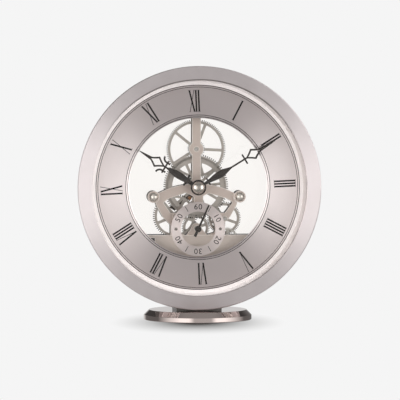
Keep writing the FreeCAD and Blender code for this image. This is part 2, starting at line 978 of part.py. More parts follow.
def dome_nut(place, back):
    """A round-headed nut: a short skirt, then a dome, with a blind hole for its stud."""
    rise = pillar_nut_height - pillar_nut_skirt
    dome_radius = (pillar_nut_radius**2 + rise**2) / (2 * rise)
    ball = Part.makeSphere(dome_radius, at(place, back - pillar_nut_height + dome_radius))
    body = ball.common(rod(pillar_nut_radius, back - pillar_nut_height, back, place))
    return body.cut(rod(pillar_screw_radius, back - pillar_nut_thread, back + overrun, place))


# lower block


def segment(radius, drop, front, back, bottom=None):
    """The part of a disc that lies below a level edge."""
    disc = rod(radius, front, back)
    floor = bottom or radius
    return disc.common(slab(-radius, radius, -floor, -drop, front, back))


def block_cover():
    shape = segment(cover_radius, block_drop, y_support_back, y_plate)
    half = cover_slot_length / 2
    rise = cover_slot_width / 2
    slot = slab(
        -cover_slot_reach - half,
        -cover_slot_reach + half,
        -cover_slot_drop - rise,
        -cover_slot_drop + rise,
        y_support_back - overrun,
        y_plate + overrun,
    )
    holes = [
        rod(small_screw_radius, y_support_back - overrun, y_plate + overrun, place)
        for place in cover_screw_places()
    ]
    return cut_all(shape, holes + [slot])


y_housing = y_support_back + shoulder_thickness + housing_clearance
y_battery = y_housing + housing_wall + battery_clearance + battery_radius
battery_place = -battery_drop
bay_half_length = battery_length / 2 + battery_button_length + contact_pip_length + contact_thickness


def housing():
    upper = segment(
        housing_radius, block_drop + level_gap, y_rear_plate_back, y_drum_back, housing_split
    )
    lower = segment(housing_radius, housing_split, y_housing, y_drum_back, housing_drop)
    posts = [
        rod(post_radius, y_plate, y_housing + overrun, (side * post_reach, -post_drop))
        for side in (-1, 1)
    ]
    whole = joined([upper, lower] + posts)
    bay_radius = battery_radius + battery_clearance
    bay = Part.makeCylinder(
        bay_radius,
        2 * bay_half_length,
        FreeCAD.Vector(-bay_half_length, y_battery, axis_height + battery_place),
        FreeCAD.Vector(1, 0, 0),
    )
    mouth = slab(
        -bay_half_length,
        bay_half_length,
        battery_place - bay_radius,
        battery_place + bay_radius,
        y_battery,
        y_drum_back + overrun,
    )
    board_bay = slab(
        -board_half_length - battery_clearance,
        board_half_length + battery_clearance,
        -housing_split + housing_wall / 2,
        -block_drop - level_gap - housing_wall,
        y_rear_plate_back + housing_wall,
        y_drum_back + overrun,
    )
    inner = housing_radius - housing_wall
    side_pockets = []
    for side in (-1, 1):
        start = bay_half_length + housing_wall
        left, right = sorted((side * start, side * inner))
        low = slab(
            left,
            right,
            -housing_drop + housing_wall,
            -housing_split,
            y_housing + housing_wall,
            y_drum_back + overrun,
        )
        high = slab(
            left,
            right,
            -housing_split - overrun,
            -block_drop - level_gap - housing_wall,
            y_rear_plate_back + housing_wall,
            y_drum_back + overrun,
        )
        pocket = low.fuse(high)
        side_pockets.append(pocket.common(rod(inner, y_housing, y_drum_back + 2 * overrun)))
    screw_room = [
        rod(
            pillar_screw_head_radius + running_gap,
            y_rear_plate_back - overrun,
            y_rear_plate_back + pillar_screw_head_height + running_gap,
            place,
        )
        for place in tail_pillars
    ]
    pivots = [
        rod(bush_radius, y_rear_plate_back - overrun, y_rear_plate_back + housing_wall / 2, place)
        for place in (step_place, rotor_place)
    ]
    pane_seat = slab(
        -drum_bore,
        drum_bore,
        -pane_window_drop - pane_overlap - housing_clearance,
        -block_drop,
        y_drum_back - pane_thickness - housing_clearance,
        y_drum_back + overrun,
    )
    return cut_all(whole, [bay, mouth, board_bay, pane_seat] + side_pockets + screw_room + pivots)


def block_pieces():
    save("block_cover", block_cover())
    save("movement_housing", housing())
    screws = []
    for place in cover_screw_places():
        head = rod(small_screw_head_radius, y_plate, y_plate + small_screw_head_height, place)
        shank = rod(small_screw_radius, y_plate - small_screw_length, y_plate, place)
        screws.append(head.fuse(shank))
    bar_head_back = y_plate_back + small_screw_head_height
    head = rod(small_screw_head_radius, y_plate_back, bar_head_back, bar_screw_place)
    shank = rod(small_screw_radius, y_plate - small_screw_length, y_plate_back, bar_screw_place)
    screws.append(head.fuse(shank))
    save("movement_screws", group(screws))


def battery_pieces():
    half = battery_length / 2
    can = Part.makeCylinder(
        battery_radius,
        battery_length - battery_button_length,
        FreeCAD.Vector(-half, y_battery, axis_height + battery_place),
        FreeCAD.Vector(1, 0, 0),
    )
    rims = [edge for edge in can.Edges if edge.Curve.TypeId == "Part::GeomCircle"]
    can = can.makeFillet(battery_clearance, rims)
    button = Part.makeCylinder(
        battery_button_radius,
        2 * battery_button_length,
        FreeCAD.Vector(half - 2 * battery_button_length, y_battery, axis_height + battery_place),
        FreeCAD.Vector(1, 0, 0),
    )
    save("battery", joined([can, button]))
    contacts = []
    for side in (-1, 1):
        outer = side * bay_half_length
        inner = outer - side * contact_thickness
        left, right = sorted((outer, inner))
        leaf = slab(
            left,
            right,
            battery_place - contact_half_width,
            battery_place + contact_half_width,
            y_battery - contact_half_width,
            y_battery + contact_half_width,
        )
        reach = bay_half_length - contact_thickness - half
        pip = Part.makeCone(
            contact_pip_radius,
            contact_tip_radius,
            reach,
            FreeCAD.Vector(inner, y_battery, axis_height + battery_place),
            FreeCAD.Vector(-side, 0, 0),
        )
        contacts.append(joined([leaf, pip]))
    save("battery_contacts", group(contacts))


def circuit_pieces():
    y_board = y_rear_plate_back + housing_wall + board_stand
    board = slab(
        -board_half_length,
        board_half_length,
        -board_bottom,
        -board_top,
        y_board,
        y_board + board_thickness,
    )
    middle = -(board_top + board_bottom) / 2
    stands = [
        rod(board_stand_radius, y_board - board_stand, y_board, (side * board_stand_reach, middle))
        for side in (-1, 1)
    ]
    y_chip = y_board + board_thickness
    chip = rod(chip_radius, y_chip, y_chip + chip_height, (0.0, middle))
    save("circuit_board", joined([board] + stands))
    save("control_chip", chip)
    crystal = Part.makeCylinder(
        crystal_radius,
        crystal_length,
        FreeCAD.Vector(-crystal_reach, y_chip + crystal_radius, axis_height + middle),
        FreeCAD.Vector(1, 0, 0),
    )
    save("quartz_crystal", crystal)


# motor and train


def motor_pieces():
    front, back = y_plate_back, y_plate_back + stator_thickness
    u, w = rotor_place
    coil_left = u + coil_start
    coil_right = coil_left + coil_length
    foot = w - stator_half_width - stator_arm_width
    ring_end = coil_right + 2 * stator_arm_width
    pole_top = w + stator_hole_radius + stator_bridge
    pole = slab(u - stator_half_width, u + stator_half_width, foot, pole_top, front, back)
    core = slab(u, ring_end, w - core_half_width, w + core_half_width, front, back)
    base_arm = slab(u - stator_half_width, ring_end, foot, foot + stator_arm_width, front, back)
    end_arm = slab(ring_end - stator_arm_width, ring_end, foot, w + core_half_width, front, back)
    stator = joined([pole, core, base_arm, end_arm])
    hole = rod(stator_hole_radius, front - overrun, back + overrun, rotor_place)
    save("stator", stator.cut(hole))
    middle = (front + back) / 2

    def along(radius, start, end):
        return Part.makeCylinder(
            radius, end - start, FreeCAD.Vector(start, middle, axis_height + w), FreeCAD.Vector(1, 0, 0)
        )

    tunnel = slab(
        coil_left - overrun, coil_right + overrun, w - core_half_width, w + core_half_width, front, back
    )
    barrel_radius = math.hypot(core_half_width, stator_thickness / 2) + bobbin_wall
    bobbin = joined(
        [
            along(barrel_radius, coil_left, coil_right),
            along(coil_radius, coil_left, coil_left + bobbin_flange),
            along(coil_radius, coil_right - bobbin_flange, coil_right),
        ]
    ).cut(tunnel)
    save("coil_bobbin", bobbin)
    inner = (coil_left + bobbin_flange, coil_right - bobbin_flange)
    save("coil_winding", along(coil_radius, *inner).cut(along(barrel_radius, *inner)))
    magnet_front = y_plate_back + rotor_lift
    magnet = tube(rotor_radius, arbor_radius, magnet_front, magnet_front + rotor_thickness, rotor_place)
    save("rotor_magnet", magnet)
    teeth = pinion(rotor_pinion_teeth, rotor_module, rotor_turn, rotor_place, step_level)
    thin = rod(pivot_radius, y_plate, y_rear_plate_back, rotor_place)
    stout = rod(arbor_radius, magnet_front, magnet_front + rotor_thickness, rotor_place)
    save("rotor_arbor", joined([teeth, thin, stout]))


def train_pieces():
    bore = arbor_radius
    gear = (seconds_teeth, transfer_module, seconds_turn, seconds_place)
    seconds_wheel = wheel(
        gear, seconds_level, bore, small_wheel_spokes, seconds_spoke_turn, hub_radius, rim_width
    )
    save("seconds_wheel", seconds_wheel)
    teeth = pinion(
        seconds_pinion_teeth, seconds_module, seconds_pinion_turn, seconds_place, third_level
    )
    save("seconds_arbor", joined([arbor(seconds_place, y_seconds_pivot), teeth]))
    gear = (transfer_teeth, transfer_module, transfer_turn, transfer_place)
    transfer_wheel = wheel(
        gear, seconds_level, bore, spokes, transfer_spoke_turn, hub_radius, rim_width
    )
    save("transfer_wheel", transfer_wheel)
    save("transfer_arbor", arbor(transfer_place, y_plate))
    gear = (third_teeth, seconds_module, third_turn, third_place)
    third_wheel = wheel(gear, third_level, bore, spokes, third_spoke_turn, hub_radius, rim_width)
    save("third_wheel", third_wheel)
    teeth = pinion(third_pinion_teeth, centre_module, third_pinion_turn, third_place, centre_level)
    save("third_arbor", joined([arbor(third_place, y_plate), teeth]))
    gear = (step_teeth, rotor_module, step_turn, step_place)
    step_wheel = wheel(
        gear, step_level, bore, small_wheel_spokes, step_spoke_turn, step_hub_radius, step_rim_width
    )
    save("step_wheel", step_wheel)
    teeth = pinion(step_pinion_teeth, transfer_module, step_pinion_turn, step_place, seconds_level)
    save("step_arbor", joined([arbor(step_place, y_plate), teeth]))
    sleeve = minute_arbor_radius + pipe_clearance
    gear = (centre_teeth, centre_module, centre_turn, origin)
    centre_wheel = wheel(
        gear, centre_level, sleeve, spokes, centre_spoke_turn, centre_boss_radius, centre_rim_width
    )
    save("centre_wheel", centre_wheel)


def clutch():
    """A collar fixed to the minute arbor, with flat arms that lie against the centre wheel."""
    front = level_front(centre_level) + wheel_thickness + clutch_gap
    back = front + clutch_thickness
    half = clutch_arm_width / 2
    pieces = [rod(clutch_collar_radius, front, level_front(seconds_level) + wheel_thickness)]
    for i in range(clutch_arms):
        arm = slab(-half, half, 0, clutch_reach, front, back)
        arm.rotate(at(origin, 0), FreeCAD.Vector(0, 1, 0), 360 * i / clutch_arms)
        pieces.append(arm)
    return joined(pieces).cut(rod(minute_arbor_radius, front - overrun, y_rear_plate))


def motion_pieces():
    cannon = pinion(cannon_teeth, cannon_module, cannon_turn, origin, motion_level)
    save("cannon_pinion", cannon.cut(rod(minute_arbor_radius, y_plate_back, y_rear_plate)))
    save("minute_arbor", rod(minute_arbor_radius, y_minute_hand - cap_thread, y_knob + knob_bore_depth))
    save("clutch_spring", clutch())
    gear = (motion_teeth, cannon_module, motion_turn, motion_place)
    motion_wheel = wheel(
        gear, motion_level, arbor_radius, spokes, motion_spoke_turn, hub_radius, rim_width
    )
    save("motion_wheel", motion_wheel)
    teeth = pinion(
        motion_pinion_teeth, hour_module, motion_pinion_turn, motion_place, hour_level
    )
    save("motion_arbor", joined([arbor(motion_place, y_plate), teeth]))
    bore = minute_arbor_radius + pipe_clearance
    gear = (hour_teeth, hour_module, hour_turn, origin)
    hour = wheel(gear, hour_level, bore, spokes, hour_spoke_turn, centre_boss_radius, centre_rim_width)
    pipe = tube(pipe_radius, bore, y_hour_hand, level_front(hour_level) + wheel_thickness)
    save("hour_wheel", joined([hour, pipe]))


# seconds dial


def seconds_dial_pieces():
    y_back = y_seconds_dial + seconds_dial_thickness
    ring = tube(seconds_dial_radius, seconds_dial_bore, y_seconds_dial, y_back, seconds_place)
    holes = [
        rod(dial_screw_radius, y_seconds_dial - overrun, y_back + overrun, place) for place in dial_posts
    ]
    save("seconds_dial", cut_all(ring, holes))
    posts, screws = [], []
    for place in dial_posts:
        stud = rod(dial_stud_radius, y_plate, y_plate_back, place)
        post_body = rod(dial_post_radius, y_back, y_plate, place).fuse(stud)
        depth = y_seconds_dial + dial_screw_length
        posts.append(post_body.cut(rod(dial_screw_radius, y_back - overrun, depth, place)))
        head_front = y_seconds_dial - dial_screw_head_height
        head = rod(dial_screw_head_radius, head_front, y_seconds_dial, place)
        screws.append(head.fuse(rod(dial_screw_radius, y_seconds_dial, depth, place)))
    save("seconds_dial_posts", group(posts))
    save("seconds_dial_screws", group(screws))


# hands, drawn pointing up and then turned clockwise to the time shown


def blade(stations, front, back):
    """A flat blade; each station is (distance from the axis, half width), joined by smooth sides."""
    sides = []
    for sign in (1, -1):
        curve = Part.BSplineCurve()
        curve.interpolate([at((sign * half, reach), front) for reach, half in stations])
        sides.append(curve.toShape())
    ends = []
    for reach, half in (stations[0], stations[-1]):
        ends.append(Part.makeLine(at((-half, reach), front), at((half, reach), front)))
    wire = Part.Wire(Part.__sortEdges__([sides[0], ends[1], sides[1], ends[0]]))
    return Part.Face(wire).extrude(FreeCAD.Vector(0, back - front, 0))


def cross(reach, half_length, width, front, back):
    bar = slab(-half_length, half_length, reach - width / 2, reach + width / 2, front, back)
    return bar.makeFillet(width * cross_round_share, along_axis(bar, 0))


def hollow_loop(start, corner, end, half_width):
    """Outline of a four-sided loop with corners at the given distances, its sides curving inward."""
    corners = [(0.0, start), (half_width, corner), (0.0, end), (-half_width, corner)]
    points = []
    for i, first in enumerate(corners):
        last = corners[(i + 1) % len(corners)]
        middle = [(a + b) / 2 for a, b in zip(first, last)]
        pull = [(1 - diamond_hollow_share) * middle[0], middle[1]]
        for step in range(diamond_side_steps):
            share = step / diamond_side_steps
            points.append(tuple(
                (1 - share) ** 2 * a + 2 * share * (1 - share) * b + share ** 2 * c
                for a, b, c in zip(first, pull, last)
            ))
    return points


def diamond(start, corner, end, half_width, front, back):
    """The open, four-sided loop of a hand."""
    lower = stroke_width * math.hypot(half_width, corner - start) / half_width
    upper = stroke_width * math.hypot(half_width, end - corner) / half_width
    scale = 1 - lower / (corner - start)
    inner_half = half_width * scale
    outer = hollow_loop(start, corner, end, half_width)
    inner = hollow_loop(start + lower, corner, end - upper, inner_half)
    return plate(outer, front, back).cut(plate(inner, front - overrun, back + overrun))


def turned_hand(shapes, bore, bore_front, angle, place=origin):
    """A hand at its angle, with a bore from the given depth to its back."""
    whole = joined(shapes)
    whole = whole.cut(rod(bore, bore_front, whole.BoundBox.YMax + overrun, place))
    whole.rotate(at(place, 0), FreeCAD.Vector(0, 1, 0), angle)
    return whole


minute_blade_shares = (
    (0.07, 0.45), (0.155, 0.6), (0.22, 0.91), (0.31, 1.0), (0.367, 0.68), (0.41, 0.36), (0.455, 0.2),
)
minute_cross_shares = ((0.129, 1.12, 0.95), (0.604, 1.62, 0.92))
minute_diamond_shares = (0.612, 0.714, 0.84)
hour_blade_shares = (
    (0.08, 0.5), (0.2, 0.72), (0.267, 0.92), (0.36, 1.0), (0.434, 0.8), (0.494, 0.45), (0.542, 0.22),
)
hour_cross_shares = ((0.2, 1.75, 1.2), (0.566, 1.95, 0.92))
hour_diamond_shares = (0.565, 0.708, 0.855)
diamond_half_width = 3.7
diamond_hollow_share = 0.25
diamond_side_steps = 4
hook_reach_shares = (0.523, 0.585)
hook_offset = 2.8
hook_radius = 2.7
cross_round_share = 0.45


def pointed(start, length, half_width, front, back):
    return plate(
        [(-half_width, start), (half_width, start), (tip_half_width, length), (-tip_half_width, length)],
        front,
        back,
    )


def minute_hand():
    front, back = y_minute_hand, y_minute_hand + hand_thickness
    length = minute_hand_length
    stations = [(reach * length, half * minute_half_width) for reach, half in minute_blade_shares]
    start, corner, end = (share * length for share in minute_diamond_shares)
    shapes = [
        rod(minute_hub_radius, front, back),
        blade(stations, front, back),
        slab(-stem_half_width, stem_half_width, stations[-2][0], start + stroke_width, front, back),
        diamond(start, corner, end, diamond_half_width, front, back),
        pointed(end - 2 * stroke_width, length, stroke_width, front, back),
    ]
    for reach, half, width in minute_cross_shares:
        shapes.append(cross(reach * length, half * minute_half_width, width * stroke_width, front, back))
    return turned_hand(shapes, minute_arbor_radius, front - overrun, minute_angle)


def hook(side, front, back):
    """A hooked scroll beside the hour hand's loop: a straight shank, then a quarter turn outward."""
    start, bend = (share * hour_hand_length for share in hook_reach_shares)
    half = stroke_width / 2
    left, right = sorted((side * (hook_offset - half), side * (hook_offset + half)))
    shank = slab(left, right, start, bend, front, back)
    centre = (side * (hook_offset + hook_radius), bend)
    ring = tube(hook_radius + half, hook_radius - half, front, back, centre)
    reach = hook_radius + stroke_width
    left, right = sorted((centre[0], centre[0] - side * reach))
    return shank.fuse(ring.common(slab(left, right, bend, bend + reach, front, back)))


def hour_hand():
    front, back = y_hour_hand, y_hour_hand + hand_thickness
    length = hour_hand_length
    stations = [(reach * length, half * hour_half_width) for reach, half in hour_blade_shares]
    start, corner, end = (share * length for share in hour_diamond_shares)
    shapes = [
        rod(hour_hub_radius, front, back),
        blade(stations, front, back),
        slab(-stem_half_width, stem_half_width, stations[-2][0], start + stroke_width, front, back),
        diamond(start, corner, end, diamond_half_width, front, back),
        pointed(end - 2 * stroke_width, length, stroke_width, front, back),
        hook(-1, front, back),
        hook(1, front, back),
    ]
    for reach, half, width in hour_cross_shares:
        shapes.append(cross(reach * length, half * hour_half_width, width * stroke_width, front, back))
    return turned_hand(shapes, pipe_radius, front - overrun, hour_angle)


def seconds_hand():
    front, back = y_seconds_hand, y_seconds_hand + seconds_hand_thickness
    u, w = seconds_place
    half = seconds_hand_half_width
    stick = plate(
        [
            (u - half, w - seconds_hand_tail),
            (u + half, w - seconds_hand_tail),
            (u + seconds_tip_half_width, w + seconds_hand_length),
            (u - seconds_tip_half_width, w + seconds_hand_length),
        ],
        front,
        back,
    )
    hub = rod(
        seconds_hub_radius, front - seconds_hub_front, back + seconds_hub_back, seconds_place
    )
    return turned_hand([stick, hub], pivot_radius, y_seconds_pivot, seconds_angle, seconds_place)


def cap_nut():
    """The domed nut that holds the minute hand, with a flat rim and a blind threaded hole."""
    back = y_minute_hand
    front = back - cap_height
    rise = cap_height - cap_edge
    dome_radius = (cap_radius**2 + rise**2) / (2 * rise)
    ball = Part.makeSphere(dome_radius, at(origin, front + dome_radius))
    body = ball.common(rod(cap_radius, front, back))
    return body.cut(rod(minute_arbor_radius, back - cap_thread, back + overrun))


def hand_pieces():
    save("minute_hand", minute_hand())
    save("hour_hand", hour_hand())
    save("seconds_hand", seconds_hand())
    save("cap_nut", cap_nut())


# back of the case


def knob():
    back = y_knob + knob_length
    body = turned(
        [
            (0, y_knob),
            (knob_radius, y_knob, knob_edge_radius),
            (knob_radius, back, knob_edge_radius),
            (0, back),
        ]
    )
    flutes = [
        rod(
            knob_flute_radius,
            y_knob - overrun,
            back + overrun,
            toward(origin, 2 * math.pi * i / knob_flutes, knob_radius + knob_flute_radius / 2),
        )
        for i in range(knob_flutes)
    ]
    flutes.append(rod(minute_arbor_radius, y_knob - overrun, y_knob + knob_bore_depth))
    return cut_all(body, flutes)


y_hinge = y_cover_back + hinge_stand
hinge_place = -door_bottom_drop + knuckle_radius


def knuckle(start, end):
    return Part.makeCylinder(
        knuckle_radius,
        end - start,
        FreeCAD.Vector(start, y_hinge, axis_height + hinge_place),
        FreeCAD.Vector(1, 0, 0),
    )


def hinge_bore(radius, half_length):
    return Part.makeCylinder(
        radius,
        2 * half_length,
        FreeCAD.Vector(-half_length, y_hinge, axis_height + hinge_place),
        FreeCAD.Vector(1, 0, 0),
    )


def rear_pieces():
    plate_disc = rod(drum_radius, y_drum_back, y_cover_back)
    window_cut = rod(pane_window_radius, y_drum_back - overrun, y_cover_back + overrun).cut(
        slab(
            -drum_radius,
            drum_radius,
            -drum_radius,
            -pane_window_drop,
            y_drum_back - 2 * overrun,
            y_cover_back + 2 * overrun,
        )
    )
    doorway = slab(
        -door_half_length - door_gap,
        door_half_length + door_gap,
        -door_bottom_drop - door_gap,
        -door_top_drop + door_gap,
        y_drum_back - overrun,
        y_cover_back + overrun,
    )
    screw_holes = [
        rod(rear_screw_radius, y_drum_back - overrun, y_cover_back + overrun, place)
        for place in lug_places()
    ]
    inner = knuckle_length / 2 + door_gap
    outer = inner + knuckle_length
    ears = []
    for side in (-1, 1):
        left, right = sorted((side * inner, side * outer))
        ear = slab(
            left,
            right,
            -door_bottom_drop - door_gap - overrun,
            hinge_place,
            y_hinge - knuckle_radius,
            y_cover_back,
        )
        ears.append(ear.fuse(knuckle(left, right)))
    cover = plate_disc.cut(window_cut).cut(doorway)
    cover = joined([cover] + ears)
    cover = cut_all(cover, screw_holes + [hinge_bore(hinge_pin_radius, outer + overrun)])
    save("rear_cover", cover)
    pane_radius = pane_window_radius + pane_overlap
    pane = rod(pane_radius, y_drum_back - pane_thickness, y_drum_back).cut(
        slab(
            -drum_radius,
            drum_radius,
            -drum_radius,
            -pane_window_drop - pane_overlap,
            y_drum_back - pane_thickness - overrun,
            y_drum_back + overrun,
        )
    )
    hole = rod(
        minute_arbor_radius + pane_hole_clearance,
        y_drum_back - pane_thickness - overrun,
        y_drum_back + overrun,
    )
    save("rear_window", pane.cut(hole))
    screws = []
    for place in lug_places():
        head = rod(rear_screw_head_radius, y_cover_back, y_cover_back + rear_screw_head_height, place)
        shank = rod(rear_screw_radius, y_drum_back - rear_screw_length, y_cover_back, place)
        screws.append(head.fuse(shank))
    save("rear_screws", group(screws))
    door_front = y_cover_back - door_thickness
    leaf = slab(
        -door_half_length,
        door_half_length,
        hinge_place + knuckle_radius + door_gap,
        -door_top_drop,
        door_front,
        y_cover_back,
    )
    strap = slab(
        -knuckle_length / 2,
        knuckle_length / 2,
        hinge_place,
        hinge_place + knuckle_radius + overrun,
        door_front,
        y_cover_back,
    )
    lip = slab(
        -door_lip_half_width,
        door_lip_half_width,
        -door_top_drop - 2 * door_lip,
        -door_top_drop - door_lip,
        y_cover_back,
        y_cover_back + door_lip,
    )
    barrel = knuckle(-knuckle_length / 2, knuckle_length / 2)
    door = joined([leaf, strap, lip, barrel]).cut(hinge_bore(hinge_pin_radius + pivot_clearance, outer))
    save("battery_door", door)
    save("door_pin", hinge_bore(hinge_pin_radius, outer))
    save("setting_knob", knob())


holes_in_base = base_pieces()
save("case_drum", drum(holes_in_base))
case_pieces()
dial_pieces()
plate_pieces()
block_pieces()
battery_pieces()
circuit_pieces()
motor_pieces()
train_pieces()
motion_pieces()
seconds_dial_pieces()
hand_pieces()
rear_pieces()
print(f"clock axis at z = {axis_height:.3f}, depth {y_bezel:.2f} to {y_knob + knob_length:.2f}")
for label, place in (
    ("seconds", seconds_place),
    ("third", third_place),
    ("transfer", transfer_place),
    ("step", step_place),
    ("rotor", rotor_place),
    ("motion", motion_place),
):
    print(f"{label} axis at x = {place[0]:.4f}, z = {axis_height + place[1]:.4f}")
print(f"door hinge axis at y = {y_hinge:.4f}, z = {axis_height + hinge_place:.4f}")
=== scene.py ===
import json
import math

import bpy
from mathutils import Matrix, Vector


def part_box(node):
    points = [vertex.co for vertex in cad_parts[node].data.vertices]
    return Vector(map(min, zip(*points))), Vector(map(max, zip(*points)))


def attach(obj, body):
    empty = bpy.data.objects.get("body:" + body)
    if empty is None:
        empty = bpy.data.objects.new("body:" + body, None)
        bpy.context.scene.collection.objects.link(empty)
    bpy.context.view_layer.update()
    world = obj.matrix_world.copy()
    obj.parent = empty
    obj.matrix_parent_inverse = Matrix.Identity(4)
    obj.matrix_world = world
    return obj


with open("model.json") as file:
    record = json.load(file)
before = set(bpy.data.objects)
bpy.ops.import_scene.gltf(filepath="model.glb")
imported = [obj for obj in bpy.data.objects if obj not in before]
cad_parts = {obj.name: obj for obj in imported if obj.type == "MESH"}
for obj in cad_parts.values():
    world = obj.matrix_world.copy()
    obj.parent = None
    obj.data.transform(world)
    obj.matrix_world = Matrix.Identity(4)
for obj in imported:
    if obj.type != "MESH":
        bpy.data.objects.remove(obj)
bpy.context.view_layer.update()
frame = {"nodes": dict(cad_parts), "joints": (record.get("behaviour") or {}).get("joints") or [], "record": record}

nodes = frame["nodes"]
joints = {joint["name"]: joint for joint in frame["joints"]}
mm = 0.001

clockAxis = Vector(joints["setting_turn"]["pos_m"])
secondsAxis = Vector(joints["seconds_turn"]["pos_m"])
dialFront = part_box("chapter_ring")[0].y
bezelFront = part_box("front_bezel")[0].y
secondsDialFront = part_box("seconds_dial")[0].y
print("frame loaded:", len(nodes), "nodes")


def addObject(name, data):
    thing = bpy.data.objects.new(name, data)
    bpy.context.scene.collection.objects.link(thing)
    return thing


# camera: the photograph's angle, a long lens slightly left of the clock and above it

cameraLook = {
    "yaw": math.radians(5.5),
    "pitch": math.radians(2.65),
    "distance": 2.4,
    "frameWidth": 0.2455,  # width of the picture at the bezel's front
    "aimBelowAxis": 7.15 * mm,
    "aimRight": -0.1 * mm,
    "sensor": 36.0,
    "clip": (0.05, 50),
}


def makeCamera(look):
    aim = Vector((look["aimRight"], bezelFront, clockAxis.z - look["aimBelowAxis"]))
    ahead = Vector((
        math.sin(look["yaw"]) * math.cos(look["pitch"]),
        math.cos(look["yaw"]) * math.cos(look["pitch"]),
        -math.sin(look["pitch"]),
    ))
    data = bpy.data.cameras.new("photoCamera")
    data.sensor_width = look["sensor"]
    data.lens = look["sensor"] * look["distance"] / look["frameWidth"]
    data.clip_start, data.clip_end = look["clip"]
    camera = addObject("photoCamera", data)
    camera.location = aim - ahead * look["distance"]
    camera.rotation_euler = ahead.to_track_quat("-Z", "Y").to_euler()
    bpy.context.scene.camera = camera


makeCamera(cameraLook)
print("camera placed")


# small helpers for node trees

def addNode(tree, kind, inputs=None, **settings):
    # settings belong to the node itself, inputs to its sockets, by label or by number
    node = tree.nodes.new(kind)
    for key, value in settings.items():
        setattr(node, key, value)
    for key, value in (inputs or {}).items():
        feed(tree, node.inputs[key], value)
    return node


def wire(tree, start, end):
    tree.links.new(start, end)


def feed(tree, socket, value):
    # a socket takes either another socket or a plain value
    if isinstance(value, bpy.types.NodeSocket):
        wire(tree, value, socket)
    else:
        socket.default_value = value


def calc(tree, operation, first, second=0.0, clamp=False):
    inputs = {0: first, 1: second}
    return addNode(tree, "ShaderNodeMath", inputs, operation=operation, use_clamp=clamp).outputs[0]


def lengthOf(tree, first, second):
    squares = [calc(tree, "MULTIPLY", part, part) for part in (first, second)]
    return calc(tree, "SQRT", calc(tree, "ADD", *squares))


def remap(tree, value, low, high, newLow, newHigh, smooth=False):
    inputs = dict(enumerate((value, low, high, newLow, newHigh)))
    kind = "SMOOTHSTEP" if smooth else "LINEAR"
    return addNode(tree, "ShaderNodeMapRange", inputs, interpolation_type=kind).outputs[0]


def fade(tree, share, first, second):
    return remap(tree, share, 0.0, 1.0, first, second)


def blendColours(tree, factor, first, second):
    # a mix of colours takes sockets 6 and 7 and gives output 2
    inputs = {0: factor, 6: first, 7: second}
    return addNode(tree, "ShaderNodeMix", inputs, data_type="RGBA").outputs[2]


def mixShaders(tree, factor, first, second):
    return addNode(tree, "ShaderNodeMixShader", {0: factor, 1: first, 2: second}).outputs[0]


def objectPlace(tree):
    return addNode(tree, "ShaderNodeTexCoord").outputs["Object"]


def axesOf(tree, vector):
    return addNode(tree, "ShaderNodeSeparateXYZ", {0: vector}).outputs


def newGroup(name, inputs, outputs):
    # inputs give each label its usual value, a number or a vector; outputs are all numbers
    group = bpy.data.node_groups.new(name, "ShaderNodeTree")
    for label, value in inputs.items():
        kind = "NodeSocketVector" if isinstance(value, tuple) else "NodeSocketFloat"
        socket = group.interface.new_socket(label, in_out="INPUT", socket_type=kind)
        socket.default_value = value
    for label in outputs:
        group.interface.new_socket(label, in_out="OUTPUT", socket_type="NodeSocketFloat")
    start = addNode(group, "NodeGroupInput")
    end = addNode(group, "NodeGroupOutput")
    return group, start.outputs, end.inputs


def useGroup(tree, group, **values):
    return addNode(tree, "ShaderNodeGroup", values, node_tree=group).outputs


# shared effects

glintLook = {
    "samples": 6,
    "spotScale": 900.0,
    "spotSpread": (0.3, 0.7),
    "spotGain": (0.7, 1.1),  # how unevenly the painted edge highlight is broken up
}


def makeEdgeGlint(look):
    # painted highlight: a bright band along edges, standing for light on their small bevels; a darker edge tone
    # paints shade there instead
    group, start, end = newGroup("edgeGlint", {"Width": 0.3 * mm, "Gain": 6.0}, ("Edge",))
    soft = addNode(group, "ShaderNodeBevel", {"Radius": start["Width"]}, samples=look["samples"])
    plain = addNode(group, "ShaderNodeNewGeometry")
    normals = {0: soft.outputs[0], 1: plain.outputs["Normal"]}
    dot = addNode(group, "ShaderNodeVectorMath", normals, operation="DOT_PRODUCT")
    turned = calc(group, "SUBTRACT", 1.0, dot.outputs["Value"])
    spots = addNode(group, "ShaderNodeTexNoise", {"Scale": look["spotScale"]})
    gain = remap(group, spots.outputs[0], *look["spotSpread"], *look["spotGain"])
    broken = calc(group, "MULTIPLY", turned, gain)
    wire(group, calc(group, "MULTIPLY", broken, start["Gain"], clamp=True), end["Edge"])
    return group


grainDetail = 3.0


def makeRingGrain():
    # fine turned lines round an axis that runs front to back
    group, start, end = newGroup(
        "ringGrain",
        {"AxisX": 0.0, "AxisZ": 0.083, "Fineness": 5000.0, "Streak": 3.0},
        ("Lines", "Radius"),
    )
    place = axesOf(group, objectPlace(group))
    across = calc(group, "SUBTRACT", place["X"], start["AxisX"])
    up = calc(group, "SUBTRACT", place["Z"], start["AxisZ"])
    radius = lengthOf(group, across, up)
    angle = calc(group, "ARCTAN2", up, across)
    spread = addNode(group, "ShaderNodeCombineXYZ", {
        0: calc(group, "MULTIPLY", radius, start["Fineness"]),
        1: calc(group, "MULTIPLY", angle, start["Streak"]),
    })
    noise = addNode(group, "ShaderNodeTexNoise", {
        "Vector": spread.outputs[0], "Scale": 1.0, "Detail": grainDetail,
    })
    wire(group, noise.outputs[0], end["Lines"])
    wire(group, radius, end["Radius"])
    return group


